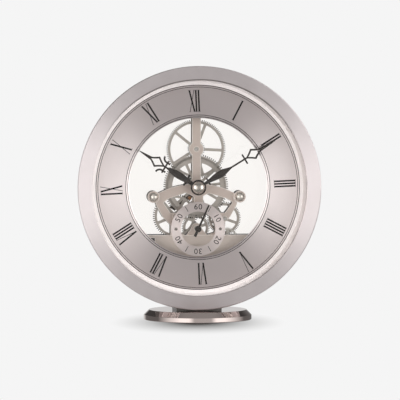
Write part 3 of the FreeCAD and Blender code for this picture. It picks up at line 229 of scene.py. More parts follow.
def makeStraightGrain():
    # lines or specks, stretched by the scale along each direction
    group, start, end = newGroup(
        "straightGrain",
        {"Spread": (400.0, 400.0, 9000.0), "Detail": grainDetail},
        ("Lines",),
    )
    sides = {0: objectPlace(group), 1: start["Spread"]}
    stretch = addNode(group, "ShaderNodeVectorMath", sides, operation="MULTIPLY")
    noise = addNode(group, "ShaderNodeTexNoise", {
        "Vector": stretch.outputs[0], "Scale": 1.0, "Detail": start["Detail"],
    })
    wire(group, noise.outputs[0], end["Lines"])
    return group


patchLook = {"detail": 4.0, "roughness": 0.6, "spread": (0.3, 0.7)}


def makeHandling(look):
    # broad, faint patches where a surface is a little duller
    group, start, end = newGroup("handling", {"Scale": 60.0, "Low": 0.0, "High": 1.0}, ("Patch",))
    noise = addNode(group, "ShaderNodeTexNoise", {
        "Vector": objectPlace(group), "Scale": start["Scale"],
        "Detail": look["detail"], "Roughness": look["roughness"],
    })
    patch = remap(group, noise.outputs[0], *look["spread"], start["Low"], start["High"])
    wire(group, patch, end["Patch"])
    return group


edgeGlint = makeEdgeGlint(glintLook)
ringGrain = makeRingGrain()
straightGrain = makeStraightGrain()
handling = makeHandling(patchLook)
print("shared effects built")


# materials

def newMaterial(name):
    material = bpy.data.materials.new(name)
    material.use_nodes = True
    tree = material.node_tree
    shader = next(node for node in tree.nodes if node.type == "BSDF_PRINCIPLED")
    return material, tree, shader


def opaque(colour):
    return (*colour, 1.0)


usualFinish = {
    # what a finish has where its own look says nothing
    "patchScale": 60.0, "grainShare": 0.6, "glossSpread": (0.2, 0.8),
    "edgeWidth": 0.25 * mm, "edgeGain": 5.0, "metallic": 0.0, "specular": 0.5,
    "coat": 0.0, "coatRoughness": 0.1, "bump": 0.1, "bumpDepth": 0.02 * mm,
}


def finishBase(name, look, grain):
    # tone that shifts with the grain and patches, with a painted highlight along edges (painted shade where the
    # edge tone is darker), and bump from the grain
    look = {**usualFinish, "edgeLightAndShade": look["tone"], **look}
    material, tree, shader = newMaterial(name)
    lines = grain(tree)
    patch = useGroup(tree, handling, Scale=look["patchScale"])["Patch"]
    fromLines = calc(tree, "MULTIPLY", lines, look["grainShare"])
    fromPatch = calc(tree, "MULTIPLY", patch, 1.0 - look["grainShare"])
    shift = calc(tree, "ADD", fromLines, fromPatch, clamp=True)
    colour = blendColours(tree, shift, opaque(look["shade"]), opaque(look["tone"]))
    edge = useGroup(tree, edgeGlint, Width=look["edgeWidth"], Gain=look["edgeGain"])["Edge"]
    colour = blendColours(tree, edge, colour, opaque(look["edgeLightAndShade"]))
    wire(tree, colour, shader.inputs["Base Color"])
    glossy, dull = look["roughness"]
    wire(tree, remap(tree, shift, *look["glossSpread"], dull, glossy), shader.inputs["Roughness"])
    shader.inputs["Metallic"].default_value = look["metallic"]
    shader.inputs["Specular IOR Level"].default_value = look["specular"]
    shader.inputs["Coat Weight"].default_value = look["coat"]
    shader.inputs["Coat Roughness"].default_value = look["coatRoughness"]
    bump = addNode(tree, "ShaderNodeBump", {
        "Strength": look["bump"], "Distance": look["bumpDepth"], "Height": lines,
    })
    wire(tree, bump.outputs[0], shader.inputs["Normal"])
    return material, tree, shader


def repaint(tree, shader, mask, tone):
    # a second tone over what already feeds the colour
    under = shader.inputs["Base Color"].links[0].from_socket
    wire(tree, blendColours(tree, mask, under, opaque(tone)), shader.inputs["Base Color"])


def radiusFrom(tree, x, z):
    return useGroup(tree, ringGrain, AxisX=x, AxisZ=z)["Radius"]


def grainedFinish(name, look):
    def grain(tree):
        detail = look.get("detail", grainDetail)
        return useGroup(tree, straightGrain, Spread=look["grain"], Detail=detail)["Lines"]
    return finishBase(name, look, grain)


quarterTurn = 0.25


def brushedFinish(name, look, axis):
    # the brush runs round the axis, so highlights spread outward from it
    def grain(tree):
        place = {"AxisX": axis.x, "AxisZ": axis.z}
        fine = {"Fineness": look["fineness"], "Streak": look["streak"]}
        return useGroup(tree, ringGrain, **place, **fine)["Lines"]
    material, tree, shader = finishBase(name, look, grain)
    tangent = addNode(tree, "ShaderNodeTangent", direction_type="RADIAL", axis="Y")
    wire(tree, tangent.outputs[0], shader.inputs["Tangent"])
    shader.inputs["Anisotropic"].default_value = look["brush"]
    shader.inputs["Anisotropic Rotation"].default_value = quarterTurn
    return material, tree, shader


brushedCaseLook = {
    "tone": (0.94, 0.86, 0.86), "shade": (0.865, 0.79, 0.785), "edgeLightAndShade": (0.97, 0.91, 0.90),
    "roughness": (0.40, 0.48), "metallic": 1.0, "bump": 0.06, "edgeWidth": 0.4 * mm,
    "edgeGain": 4.0, "brush": 0.92, "fineness": 6000.0, "streak": 2.0,
    "lipDarkReflection": (0.36, 0.32, 0.31), "lipFrom": (66.75 * mm, 67.25 * mm), "lipUp": (0.35, 0.9),
}


def brushedCase(look):
    # painted reflection: the lip round the glass is darkened where it faces down, standing for the dark its fillet
    # mirrors there
    material, tree, shader = brushedFinish("brushedCase", look, clockAxis)
    radius = radiusFrom(tree, clockAxis.x, clockAxis.z)
    height = calc(tree, "SUBTRACT", axesOf(tree, objectPlace(tree))["Z"], clockAxis.z)
    upward = calc(tree, "DIVIDE", height, radius)
    top = remap(tree, upward, *look["lipUp"], 0.0, 1.0, smooth=True)
    lip = remap(tree, radius, *look["lipFrom"], 1.0, 0.0)
    repaint(tree, shader, calc(tree, "MULTIPLY", top, lip), look["lipDarkReflection"])
    return material


dialSilverLook = {
    "tone": (0.895, 0.81, 0.795), "shade": (0.815, 0.735, 0.72), "edgeLightAndShade": (0.92, 0.86, 0.84),
    "roughness": (0.28, 0.34), "metallic": 1.0, "bump": 0.05, "edgeWidth": 0.2 * mm,
    "edgeGain": 4.0, "brush": 0.92, "fineness": 7000.0, "streak": 2.0,
    # painted shade: darker above and below the middle, where the brushing turns the light away
    "brushShadeTone": (0.625, 0.555, 0.545), "brushShadeFrom": (0.45, 1.0),
}
secondsSilverLook = {
    **dialSilverLook, "tone": (0.77, 0.68, 0.65), "shade": (0.685, 0.60, 0.575),
}


def dialSilver(look):
    material, tree, shader = brushedFinish("dialSilver", look, clockAxis)
    radius = radiusFrom(tree, clockAxis.x, clockAxis.z)
    aside = calc(tree, "DIVIDE", axesOf(tree, objectPlace(tree))["X"], radius)
    aside = calc(tree, "ABSOLUTE", aside)
    # painted shade: darkens the dial above and below its middle
    brushShade = remap(tree, aside, *look["brushShadeFrom"], 1.0, 0.0, smooth=True)
    repaint(tree, shader, brushShade, look["brushShadeTone"])
    return material


glassLook = {
    "tint": (1.0, 1.0, 1.0), "ior": 1.25, "roughness": (0.0, 0.015), "smearScale": 25.0,
}
paneLook = {**glassLook, "ior": 1.35, "roughness": (0.0, 0.03)}


def clearPane(name, look):
    # shadow and diffuse rays pass straight through
    material, tree, shader = newMaterial(name)
    shader.inputs["Base Color"].default_value = opaque(look["tint"])
    shader.inputs["Transmission Weight"].default_value = 1.0
    shader.inputs["IOR"].default_value = look["ior"]
    low, high = look["roughness"]
    smear = useGroup(tree, handling, Scale=look["smearScale"], Low=low, High=high)["Patch"]
    wire(tree, smear, shader.inputs["Roughness"])
    passing = addNode(tree, "ShaderNodeBsdfTransparent", {"Color": opaque(look["tint"])})
    rays = addNode(tree, "ShaderNodeLightPath").outputs
    through = calc(tree, "MAXIMUM", rays["Is Shadow Ray"], rays["Is Diffuse Ray"])
    output = next(node for node in tree.nodes if node.type == "OUTPUT_MATERIAL")
    surface = mixShaders(tree, through, shader.outputs[0], passing.outputs[0])
    wire(tree, surface, output.inputs["Surface"])
    return material


feltLook = {
    "tone": (0.08, 0.08, 0.09), "shade": (0.03, 0.03, 0.035), "roughness": (0.9, 1.0),
    "bump": 0.6, "bumpDepth": 0.1 * mm, "grain": (5000.0, 5000.0, 5000.0), "detail": 4.0,
    "specular": 0.1, "sheen": 0.3, "sheenRoughness": 0.5,
}


def feltPad(look):
    material, tree, shader = grainedFinish("feltPad", look)
    shader.inputs["Sheen Weight"].default_value = look["sheen"]
    shader.inputs["Sheen Roughness"].default_value = look["sheenRoughness"]
    return material


windingLook = {
    "tone": (0.62, 0.27, 0.12), "shade": (0.30, 0.11, 0.05), "edgeLightAndShade": (0.75, 0.4, 0.2),
    "roughness": (0.25, 0.4), "metallic": 0.9, "bump": 0.5, "bumpDepth": 0.05 * mm,
    "wirePitch": 0.12 * mm, "wobble": 0.3,
}
waveLength = math.pi / 10  # of the wave texture at a scale of 1


def woundCopper(look):
    # fine wire laid side by side along the bobbin
    def turns(tree):
        wave = addNode(
            tree, "ShaderNodeTexWave",
            {
                "Vector": objectPlace(tree), "Scale": waveLength / look["wirePitch"],
                "Distortion": look["wobble"],
            },
            wave_type="BANDS", bands_direction="X", wave_profile="SIN",
        )
        return wave.outputs["Fac"]
    return finishBase("woundCopper", look, turns)[0]


batteryLook = {
    "tone": (0.10, 0.12, 0.15), "shade": (0.06, 0.07, 0.09), "edgeLightAndShade": (0.2, 0.22, 0.25),
    "bandTone": (0.62, 0.40, 0.16), "bandFrom": 12.0 * mm, "roughness": (0.25, 0.4),
    "metallic": 0.3, "coat": 0.4, "bump": 0.03, "grain": (300.0, 3000.0, 3000.0),
}


def cellWrap(look):
    # a plain dark sleeve with a coppery band at the button end
    material, tree, shader = grainedFinish("cellWrap", look)
    along = axesOf(tree, objectPlace(tree))["X"]
    repaint(tree, shader, calc(tree, "GREATER_THAN", along, look["bandFrom"]), look["bandTone"])
    return material


boardLook = {
    "tone": (0.05, 0.20, 0.11), "shade": (0.03, 0.13, 0.07), "trackTone": (0.16, 0.34, 0.16),
    "roughness": (0.3, 0.5), "coat": 0.3, "bump": 0.2, "grain": (2500.0, 2500.0, 2500.0),
    "trackScale": 260.0, "trackWidth": 0.12,
}


def circuitBoard(look):
    # square-cornered tracks under green lacquer
    material, tree, shader = grainedFinish("circuitBoard", look)
    cells = addNode(
        tree, "ShaderNodeTexVoronoi",
        {"Vector": objectPlace(tree), "Scale": look["trackScale"]},
        distance="CHEBYCHEV", feature="DISTANCE_TO_EDGE",
    )
    track = calc(tree, "LESS_THAN", cells.outputs["Distance"], look["trackWidth"])
    repaint(tree, shader, track, look["trackTone"])
    return material


champagne = {
    "tone": (0.70, 0.59, 0.525), "shade": (0.59, 0.49, 0.43), "edgeLightAndShade": (0.97, 0.91, 0.85),
}
steel = {"tone": (0.74, 0.73, 0.71), "shade": (0.58, 0.57, 0.55), "edgeLightAndShade": (0.92, 0.91, 0.9)}
plainLooks = {
    "polished_nickel": {
        "tone": (0.80, 0.76, 0.73), "shade": (0.72, 0.68, 0.65), "edgeLightAndShade": (0.95, 0.92, 0.9),
        "roughness": (0.05, 0.11), "metallic": 1.0, "bump": 0.02, "grain": (900.0, 900.0, 900.0),
        "edgeWidth": 0.3 * mm,
    },
    "drum_satin": {
        "tone": (0.70, 0.68, 0.67), "shade": (0.58, 0.56, 0.55), "edgeLightAndShade": (0.88, 0.86, 0.85),
        "roughness": (0.28, 0.42), "metallic": 1.0, "bump": 0.05, "grain": (300.0, 300.0, 7000.0),
    },
    "steel_screw": {
        **steel, "roughness": (0.18, 0.32), "metallic": 1.0, "bump": 0.1,
        "grain": (3000.0, 800.0, 3000.0),
    },
    "black_rubber": {
        "tone": (0.035, 0.035, 0.036), "shade": (0.02, 0.02, 0.021), "roughness": (0.6, 0.8),
        "bump": 0.3, "grain": (2500.0, 2500.0, 2500.0), "specular": 0.3,
    },
    "white_surround": {
        "tone": (0.93, 0.90, 0.89), "shade": (0.88, 0.85, 0.84), "edgeLightAndShade": (0.96, 0.94, 0.93),
        "roughness": (0.25, 0.4), "bump": 0.05, "grain": (1200.0, 1200.0, 1200.0), "coat": 0.3,
    },
    "pin_brass": {
        "tone": (0.78, 0.55, 0.30), "shade": (0.60, 0.36, 0.17), "edgeLightAndShade": (0.9, 0.72, 0.45),
        "roughness": (0.2, 0.35), "metallic": 1.0, "bump": 0.1, "grain": (2500.0, 700.0, 2500.0),
    },
    "dark_plastic": {
        "tone": (0.13, 0.13, 0.135), "shade": (0.09, 0.09, 0.095), "edgeLightAndShade": (0.22, 0.22, 0.23),
        "roughness": (0.45, 0.6), "bump": 0.35, "bumpDepth": 0.03 * mm,
        "grain": (1800.0, 1800.0, 1800.0),
    },
    # painted highlight: a wide bright edge band, standing for light on the plates' bevels
    "plate_champagne": {
        **champagne, "roughness": (0.30, 0.42), "metallic": 0.85, "bump": 0.12,
        "grain": (5000.0, 5000.0, 350.0), "edgeWidth": 0.9 * mm, "edgeGain": 10.0,
    },
    # painted shade: its edge tone is darker than its face, shading the wheels' side walls
    "wheel_nickel": {
        "tone": (0.56, 0.51, 0.46), "shade": (0.44, 0.395, 0.35), "edgeLightAndShade": (0.40, 0.36, 0.32),
        "roughness": (0.26, 0.40), "metallic": 0.9, "bump": 0.1, "grain": (3500.0, 3500.0, 3500.0),
        "edgeWidth": 0.3 * mm, "edgeGain": 3.0,
    },
    "arbor_steel": {
        **steel, "roughness": (0.12, 0.25), "metallic": 1.0, "bump": 0.05,
        "grain": (900.0, 5000.0, 900.0),
    },
    "hand_black": {
        "tone": (0.026, 0.02, 0.016), "shade": (0.017, 0.013, 0.01),
        "edgeLightAndShade": (0.04, 0.032, 0.026), "roughness": (0.38, 0.5), "bump": 0.08,
        "grain": (3000.0, 3000.0, 3000.0), "edgeWidth": 0.1 * mm, "edgeGain": 2.0,
        "specular": 0.35,
    },
    "contact_spring": {
        "tone": (0.80, 0.77, 0.72), "shade": (0.66, 0.63, 0.58), "edgeLightAndShade": (0.9, 0.88, 0.84),
        "roughness": (0.2, 0.3), "metallic": 1.0, "bump": 0.05, "grain": (3000.0, 600.0, 3000.0),
    },
    "chip_epoxy": {
        "tone": (0.03, 0.03, 0.03), "shade": (0.02, 0.02, 0.02), "roughness": (0.25, 0.4),
        "bump": 0.4, "bumpDepth": 0.1 * mm, "grain": (700.0, 700.0, 700.0),
    },
    "crystal_can": {
        **steel, "roughness": (0.15, 0.22), "metallic": 1.0, "bump": 0.03,
        "grain": (500.0, 3000.0, 3000.0),
    },
    "stator_iron": {
        "tone": (0.46, 0.45, 0.43), "shade": (0.34, 0.33, 0.32), "edgeLightAndShade": (0.7, 0.69, 0.67),
        "roughness": (0.3, 0.45), "metallic": 1.0, "bump": 0.15, "grain": (2500.0, 2500.0, 2500.0),
    },
    "bobbin_plastic": {
        "tone": (0.78, 0.75, 0.68), "shade": (0.70, 0.67, 0.60), "edgeLightAndShade": (0.85, 0.83, 0.78),
        "roughness": (0.4, 0.55), "bump": 0.1, "grain": (1500.0, 1500.0, 1500.0),
    },
    "magnet_dark": {
        "tone": (0.16, 0.16, 0.17), "shade": (0.10, 0.10, 0.11), "edgeLightAndShade": (0.35, 0.35, 0.36),
        "roughness": (0.35, 0.5), "metallic": 0.8, "bump": 0.3, "grain": (2500.0, 2500.0, 2500.0),
    },
    "knob_black": {
        "tone": (0.06, 0.06, 0.062), "shade": (0.035, 0.035, 0.037),
        "edgeLightAndShade": (0.14, 0.14, 0.145), "roughness": (0.35, 0.5), "bump": 0.25,
        "grain": (2500.0, 2500.0, 2500.0),
    },
}


def makeMaterials():
    ready = {name: grainedFinish(name, look)[0] for name, look in plainLooks.items()}
    ready["brushed_case"] = brushedCase(brushedCaseLook)
    ready["dial_silver"] = dialSilver(dialSilverLook)
    ready["clear_glass"] = clearPane("clearGlass", glassLook)
    ready["clear_pane"] = clearPane("clearPane", paneLook)
    ready["felt"] = feltPad(feltLook)
    ready["winding_copper"] = woundCopper(windingLook)
    ready["cell_wrap"] = cellWrap(batteryLook)
    ready["board_green"] = circuitBoard(boardLook)
    return ready


ownLooks = {
    # pieces whose finish differs from the rest of their slot; for some the difference is painted shade
    "base_disc": {
        **plainLooks["polished_nickel"], "tone": (0.64, 0.55, 0.52), "shade": (0.565, 0.48, 0.45),
        "edgeLightAndShade": (0.80, 0.76, 0.73), "roughness": (0.03, 0.06), "bump": 0.005,
    },
    # painted shade: its dark edge tone rings the dome's rim
    "cap_nut": {
        **plainLooks["polished_nickel"], "tone": (0.55, 0.50, 0.445), "shade": (0.46, 0.415, 0.37),
        "edgeLightAndShade": (0.15, 0.13, 0.11), "roughness": (0.07, 0.14),
    },
    "pillar_nuts": {
        **plainLooks["polished_nickel"], "tone": (0.74, 0.69, 0.62), "shade": (0.64, 0.59, 0.53),
        "edgeLightAndShade": (0.66, 0.61, 0.55), "roughness": (0.24, 0.34), "metallic": 0.7,
    },
    "seconds_dial_screws": {
        **plainLooks["steel_screw"], "tone": (0.34, 0.31, 0.28), "shade": (0.24, 0.21, 0.19),
        "edgeLightAndShade": (0.45, 0.42, 0.39),
    },
    # painted shade: the back plate is made dark, standing for the shadow it lies in behind the front plate
    "back_plate": {
        **plainLooks["plate_champagne"], "tone": (0.15, 0.125, 0.105), "shade": (0.11, 0.09, 0.075),
        "edgeLightAndShade": (0.28, 0.24, 0.21),
    },
    "block_cover": {
        **plainLooks["plate_champagne"], "tone": (0.67, 0.58, 0.515),
        "shade": (0.61, 0.525, 0.465), "metallic": 0.05,
    },
    # painted shade: the saddle is made dark, standing for the shadow under the case
    "case_saddle": {
        **plainLooks["drum_satin"], "tone": (0.22, 0.205, 0.195), "shade": (0.16, 0.15, 0.14),
        "edgeLightAndShade": (0.26, 0.24, 0.23),
    },
}


wheelLook = {
    **plainLooks["wheel_nickel"],
    "teeth": {
        "seconds_wheel": 50, "transfer_wheel": 60, "third_wheel": 64, "centre_wheel": 90,
        "motion_wheel": 98, "hour_wheel": 96,
    },
    # in modules: the tips stand this far outside the pitch circle, the painted tooth shade ends this far inside
    "tipShare": 0.85, "toothShadeShare": 1.7,
    # painted shade: the tooth ring is painted nearly black, standing for the shade in and beside the teeth
    "toothShade": (0.055, 0.045, 0.037), "toothBlend": 0.2 * mm,
    "frontToothShade": {"hour_wheel": (0.36, 0.325, 0.29)},  # its teeth stand before another wheel's rim
}


def toothedNickel(name, look):
    # painted shade: the cut teeth are darker than the wheel's face
    material, tree, shader = grainedFinish(name + "Finish", look)
    low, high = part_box(name)
    middle, reach = (low + high) / 2, (high.x - low.x) / 2
    module = reach / (look["teeth"][name] / 2 + look["tipShare"])
    toothShadeFrom = reach - module * (look["tipShare"] + look["toothShadeShare"])
    radius = radiusFrom(tree, middle.x, middle.z)
    teeth = remap(tree, radius, toothShadeFrom, toothShadeFrom + look["toothBlend"], 0.0, 1.0)
    repaint(tree, shader, teeth, look["frontToothShade"].get(name, look["toothShade"]))
    return material


rivetLook = {
    **plainLooks["wheel_nickel"], "rivetTone": (0.50, 0.24, 0.11), "rivetX": -3.5 * mm,
    "rivetZ": 74.65 * mm, "rivetReach": 1.7 * mm,
}


def nickelBushes(look):
    # nickel bushes, and one copper rivet among them
    material, tree, shader = grainedFinish("nickelBushes", look)
    distance = radiusFrom(tree, look["rivetX"], look["rivetZ"])
    repaint(tree, shader, calc(tree, "LESS_THAN", distance, look["rivetReach"]), look["rivetTone"])
    return material


sleeveLook = {
    **plainLooks["white_surround"], "tone": (1.0, 0.945, 0.93), "shade": (0.965, 0.905, 0.89),
    "wallShadeTone": (0.67, 0.605, 0.58), "wallFrom": (65.15 * mm, 65.3 * mm),
    "wallShadeSide": (15.0 * mm, 50.0 * mm),
}


def whiteSleeve(look):
    # a white foot under the glass, and painted shade that turns the wall a dusky pink on its right
    material, tree, shader = grainedFinish("whiteSleeve", look)
    radius = radiusFrom(tree, clockAxis.x, clockAxis.z)
    wall = remap(tree, radius, *look["wallFrom"], 0.0, 1.0)
    across = axesOf(tree, objectPlace(tree))["X"]
    side = remap(tree, across, *look["wallShadeSide"], 0.0, 1.0, smooth=True)
    repaint(tree, shader, calc(tree, "MULTIPLY", wall, side), look["wallShadeTone"])
    return material


def makeOwnMaterials():
    ready = {name: grainedFinish(name + "Finish", look)[0] for name, look in ownLooks.items()}
    for name in wheelLook["teeth"]:
        ready[name] = toothedNickel(name, wheelLook)
    ready["plate_bushes"] = nickelBushes(rivetLook)
    ready["dial_surround"] = whiteSleeve(sleeveLook)
    ready["seconds_dial"] = brushedFinish("secondsSilver", secondsSilverLook, secondsAxis)[0]
    return ready


materials = makeMaterials()
ownMaterials = makeOwnMaterials()
slotOf = {part["node"]: part["material_slot"] for part in frame["record"]["subparts"]}


def dress(piece, material):
    piece.data.materials.clear()
    piece.data.materials.append(material)


for name, piece in nodes.items():
    dress(piece, ownMaterials.get(name, materials[slotOf[name]]))
print("materials set on", len(nodes), "nodes")


# printed figures and lines: thin prisms, a hair proud of the metal they are printed on

inkLook = {
    "tone": (0.014, 0.010, 0.009), "shade": (0.008, 0.006, 0.005), "roughness": (0.55, 0.7),
    "bump": 0.05, "grain": (4000.0, 4000.0, 4000.0), "specular": 0.1, "edgeGain": 0.0,
}
inkBlack = grainedFinish("inkBlack", inkLook)[0]


def newMesh(name, vertices, faces):
    mesh = bpy.data.meshes.new(name)
    mesh.from_pydata(vertices, [], faces)
    return mesh


def newPiece(name, mesh, body, material):
    mesh.validate()
    mesh.update()
    piece = addObject(name, mesh)
    dress(piece, material)
    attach(piece, body)


def printedMesh(name, outlines, front, back):
    # each outline is a closed list of (x, z) points
    vertices, faces = [], []
    for outline in outlines:
        first, count = len(vertices), len(outline)
        vertices += [(x, depth, z) for depth in (front, back) for x, z in outline]
        faces.append(tuple(range(first, first + count)))
        faces.append(tuple(reversed(range(first + count, first + 2 * count))))
        for i in range(count):
            here, there = first + i, first + (i + 1) % count
            faces.append((there, here, here + count, there + count))
    return newMesh(name, vertices, faces)


def placeOnRing(points, centre, angle, radius):
    # local (across, outward) points to the dial's plane; the angle runs clockwise from the top
    sine, cosine = math.sin(angle), math.cos(angle)
    placed = []
    for across, outward in points:
        reach = radius + outward
        x = centre.x + across * cosine + reach * sine
        placed.append((x, centre.z - across * sine + reach * cosine))
    return placed


hourFigures = {
    # each figure, and how far the print sits off its exact place, outward and clockwise, in mm
    "words": (
        ("XII", 0.0, 0.0), ("I", 0.0, 0.0), ("II", 0.25, 0.15), ("III", 0.6, 0.2),
        ("IIII", 0.5, -0.05), ("V", 0.9, -0.25), ("VI", 0.0, -0.45), ("VII", 0.05, -0.9),
        ("VIII", -0.05, 0.1), ("IX", 0.1, 0.8), ("X", 0.35, 0.35), ("XI", 0.75, -0.4),
    ),
    "inner": 46.7 * mm,
    "height": 13.4 * mm,
    "thick": 1.0 * mm,
    "thin": 0.34 * mm,
    "gap": 0.64 * mm,
    "gapAfter": {"X": 0.15 * mm, "V": 0.25 * mm},  # these two lean on the stroke that follows
    "vWidth": 4.0 * mm,
    "xWidth": 3.9 * mm,
    "serif": 0.34 * mm,
    "serifHeight": 0.16 * mm,
    "turn": math.radians(-2.5),  # the whole dial sits slightly anticlockwise
    "proud": 0.02 * mm,
}


def strokeOutline(bottom, top, width, height):
    # a straight stroke with level ends
    half = width / 2
    return [(bottom - half, 0.0), (bottom + half, 0.0), (top + half, height), (top - half, height)]


def serifOutline(middle, width, level, look):
    # it lies on its stroke's end and reaches inward
    half = width / 2 + look["serif"]
    inward = math.copysign(look["serifHeight"], look["height"] / 2 - level)
    low, high = sorted((level, level + inward))
    left, right = middle - half, middle + half
    return [(left, low), (right, low), (right, high), (left, high)]


def letterOutlines(letter, left, look):
    # the strokes, their ends as (middle, width, level), and the letter's width
    thick, thin, height = look["thick"], look["thin"], look["height"]
    if letter == "I":
        middle = left + thick / 2
        ends = [(middle, thick, 0.0), (middle, thick, height)]
        return [strokeOutline(middle, middle, thick, height)], ends, thick
    if letter == "V":
        width = look["vWidth"]
        foot, near, far = left + width / 2, left + thick / 2, left + width - thin / 2
        strokes = [
            strokeOutline(foot, near, thick, height),
            strokeOutline(foot, far, thin, height),
        ]
        return strokes, [(near, thick, height), (far, thin, height)], width
    width = look["xWidth"]
    near, far = left + thick / 2, left + width - thick / 2
    strokes = [strokeOutline(far, near, thick, height), strokeOutline(near, far, thin, height)]
    ends = [(far, thick, 0.0), (near, thick, height), (near, thin, 0.0), (far, thin, height)]
    return strokes, ends, width


def wordOutlines(word, look):
    # one figure, with its foot at zero and its middle at zero across
    shapes, cursor = [], 0.0
    for letter in word:
        strokes, ends, width = letterOutlines(letter, cursor, look)
        shapes += strokes + [serifOutline(*end, look) for end in ends]
        gap = look["gapAfter"].get(letter, look["gap"])
        cursor += width + gap
    middle = (cursor - gap) / 2
    return [[(across - middle, outward) for across, outward in shape] for shape in shapes]


def makeHourFigures(look):
    outlines = []
    for hour, (word, outShift, sideShift) in enumerate(look["words"]):
        angle = math.tau * hour / len(look["words"]) + look["turn"]
        for shape in wordOutlines(word, look):
            local = [
                (across + sideShift * mm, outward + outShift * mm) for across, outward in shape
            ]
            outlines.append(placeOnRing(local, clockAxis, angle, look["inner"]))
    mesh = printedMesh("hourFigures", outlines, dialFront - look["proud"], dialFront)
    newPiece("hourFigures", mesh, "clock_case", inkBlack)


makeHourFigures(hourFigures)


dialLines = {
    # radius and width of each line
    "rings": (
        (63.1 * mm, 0.36 * mm), (61.95 * mm, 0.3 * mm), (44.7 * mm, 0.36 * mm),
        (43.5 * mm, 0.26 * mm),
    ),
    "steps": 240,
    "proud": 0.015 * mm,
}


def ringMesh(name, rings, centre, front, back, steps):
    vertices, faces = [], []
    for radius, width in rings:
        inner, outer = radius - width / 2, radius + width / 2
        section = ((inner, front), (outer, front), (outer, back), (inner, back))
        first, corners = len(vertices), len(section)
        for i in range(steps):
            sine, cosine = math.sin(math.tau * i / steps), math.cos(math.tau * i / steps)
            for reach, depth in section:
                vertices.append((centre.x + reach * sine, depth, centre.z + reach * cosine))
            here, there = first + corners * i, first + corners * ((i + 1) % steps)
            for k in range(corners):
                nextK = (k + 1) % corners
                faces.append((here + k, here + nextK, there + nextK, there + k))
    return newMesh(name, vertices, faces)


def makeDialLines(look):
    front = dialFront - look["proud"]
    mesh = ringMesh("dialLines", look["rings"], clockAxis, front, dialFront, look["steps"])
    newPiece("dialLines", mesh, "clock_case", inkBlack)


makeDialLines(dialLines)


secondsFigures = {
    "figures": ((0, "60"), (10, "10"), (20, "20"), (30, "30"), (40, "40"), (50, "50")),
    "ticks": (5, 25, 35, 55),
    "middle": 13.6 * mm,
    "size": 4.9 * mm,
    "spacing": 1.12,
    "resolution": 4,
    "tickInner": 12.3 * mm,
    "tickOuter": 16.0 * mm,
    "tickWidth": 0.36 * mm,
    "proud": 0.02 * mm,
}


def figureMesh(text, look):
    curve = bpy.data.curves.new("figure", "FONT")
    curve.body = text
    curve.size = look["size"]
    curve.space_character = look["spacing"]
    curve.align_x = "CENTER"
    curve.align_y = "CENTER"
    curve.extrude = look["proud"] / 2
    curve.resolution_u = look["resolution"]
    holder = addObject("figure", curve)
    bpy.context.view_layer.update()
    mesh = bpy.data.meshes.new_from_object(holder)
    bpy.data.objects.remove(holder)
    bpy.data.curves.remove(curve)
    return mesh


def secondsAngle(second):
    return math.tau * second / 60


def makeSecondsFigures(look):
    vertices, faces = [], []
    upright = Matrix.Rotation(math.pi / 2, 4, "X")
    outward = Vector((0.0, 0.0, look["middle"]))
    centre = Vector((secondsAxis.x, secondsDialFront - look["proud"] / 2, secondsAxis.z))
    for second, text in look["figures"]:
        mesh = figureMesh(text, look)
        turn = Matrix.Rotation(secondsAngle(second), 4, "Y")
        first = len(vertices)
        vertices += [
            tuple(centre + turn @ (outward + upright @ point.co)) for point in mesh.vertices
        ]
        faces += [tuple(first + index for index in polygon.vertices) for polygon in mesh.polygons]
        bpy.data.meshes.remove(mesh)
    joined = newMesh("secondsFigures", vertices, faces)
    newPiece("secondsFigures", joined, "clock_case", inkBlack)


def makeSecondsTicks(look):
    half, span = look["tickWidth"] / 2, look["tickOuter"] - look["tickInner"]
    tick = [(-half, 0.0), (half, 0.0), (half, span), (-half, span)]
    outlines = [
        placeOnRing(tick, secondsAxis, secondsAngle(second), look["tickInner"])
        for second in look["ticks"]
    ]
    front = secondsDialFront - look["proud"]
    mesh = printedMesh("secondsTicks", outlines, front, secondsDialFront)
    newPiece("secondsTicks", mesh, "clock_case", inkBlack)


makeSecondsFigures(secondsFigures)
makeSecondsTicks(secondsFigures)
print("printed figures and lines made")


# floor, background and light

background = (0.913, 0.913, 0.913)
throughGlass = (0.98, 0.955, 0.925)
noBounce = 0.5  # a ray's count of bounces is below this only when it has none


def backdropTone(tree, rays):
    return blendColours(tree, rays["Is Transmission Ray"], opaque(background), opaque(throughGlass))


def straightToEye(tree, rays):
    # 1 for what the eye sees directly or through glass, 0 for what metal and matt surfaces see
    seen = calc(tree, "MAXIMUM", rays["Is Camera Ray"], rays["Is Transmission Ray"])
    bounces = calc(tree, "ADD", rays["Glossy Depth"], rays["Diffuse Depth"])
    return calc(tree, "MULTIPLY", seen, calc(tree, "LESS_THAN", bounces, noBounce))


floorLook = {
    "radius": 6.0,
    "steps": 96,
    "white": (0.80, 0.80, 0.80),
    "pool": (0.09, 0.085, 0.08),  # the floor's tone deep in the soft shadow round the base
    "poolTurn": math.radians(5.5),
    "poolMiddle": -20.0 * mm,
    "poolHalfWidth": 55.0 * mm,
    "poolHalfDepth": 97.0 * mm,
    "poolEdge": (0.16, 1.0),
    "poolFade": 1.5,  # above 1 the pool stays dark only close to the base
}


def outsidePool(tree, look):
    # 0 in the middle of the soft shadow, 1 outside it
    turned = addNode(
        tree, "ShaderNodeVectorRotate",
        {"Vector": objectPlace(tree), "Angle": look["poolTurn"]}, rotation_type="Z_AXIS",
    )
    place = axesOf(tree, turned.outputs[0])
    across = calc(tree, "DIVIDE", place["X"], look["poolHalfWidth"])
    along = calc(tree, "SUBTRACT", place["Y"], look["poolMiddle"])
    along = calc(tree, "DIVIDE", along, look["poolHalfDepth"])
    near = remap(tree, lengthOf(tree, across, along), *look["poolEdge"], 1.0, 0.0)
    return calc(tree, "SUBTRACT", 1.0, calc(tree, "POWER", near, look["poolFade"]))


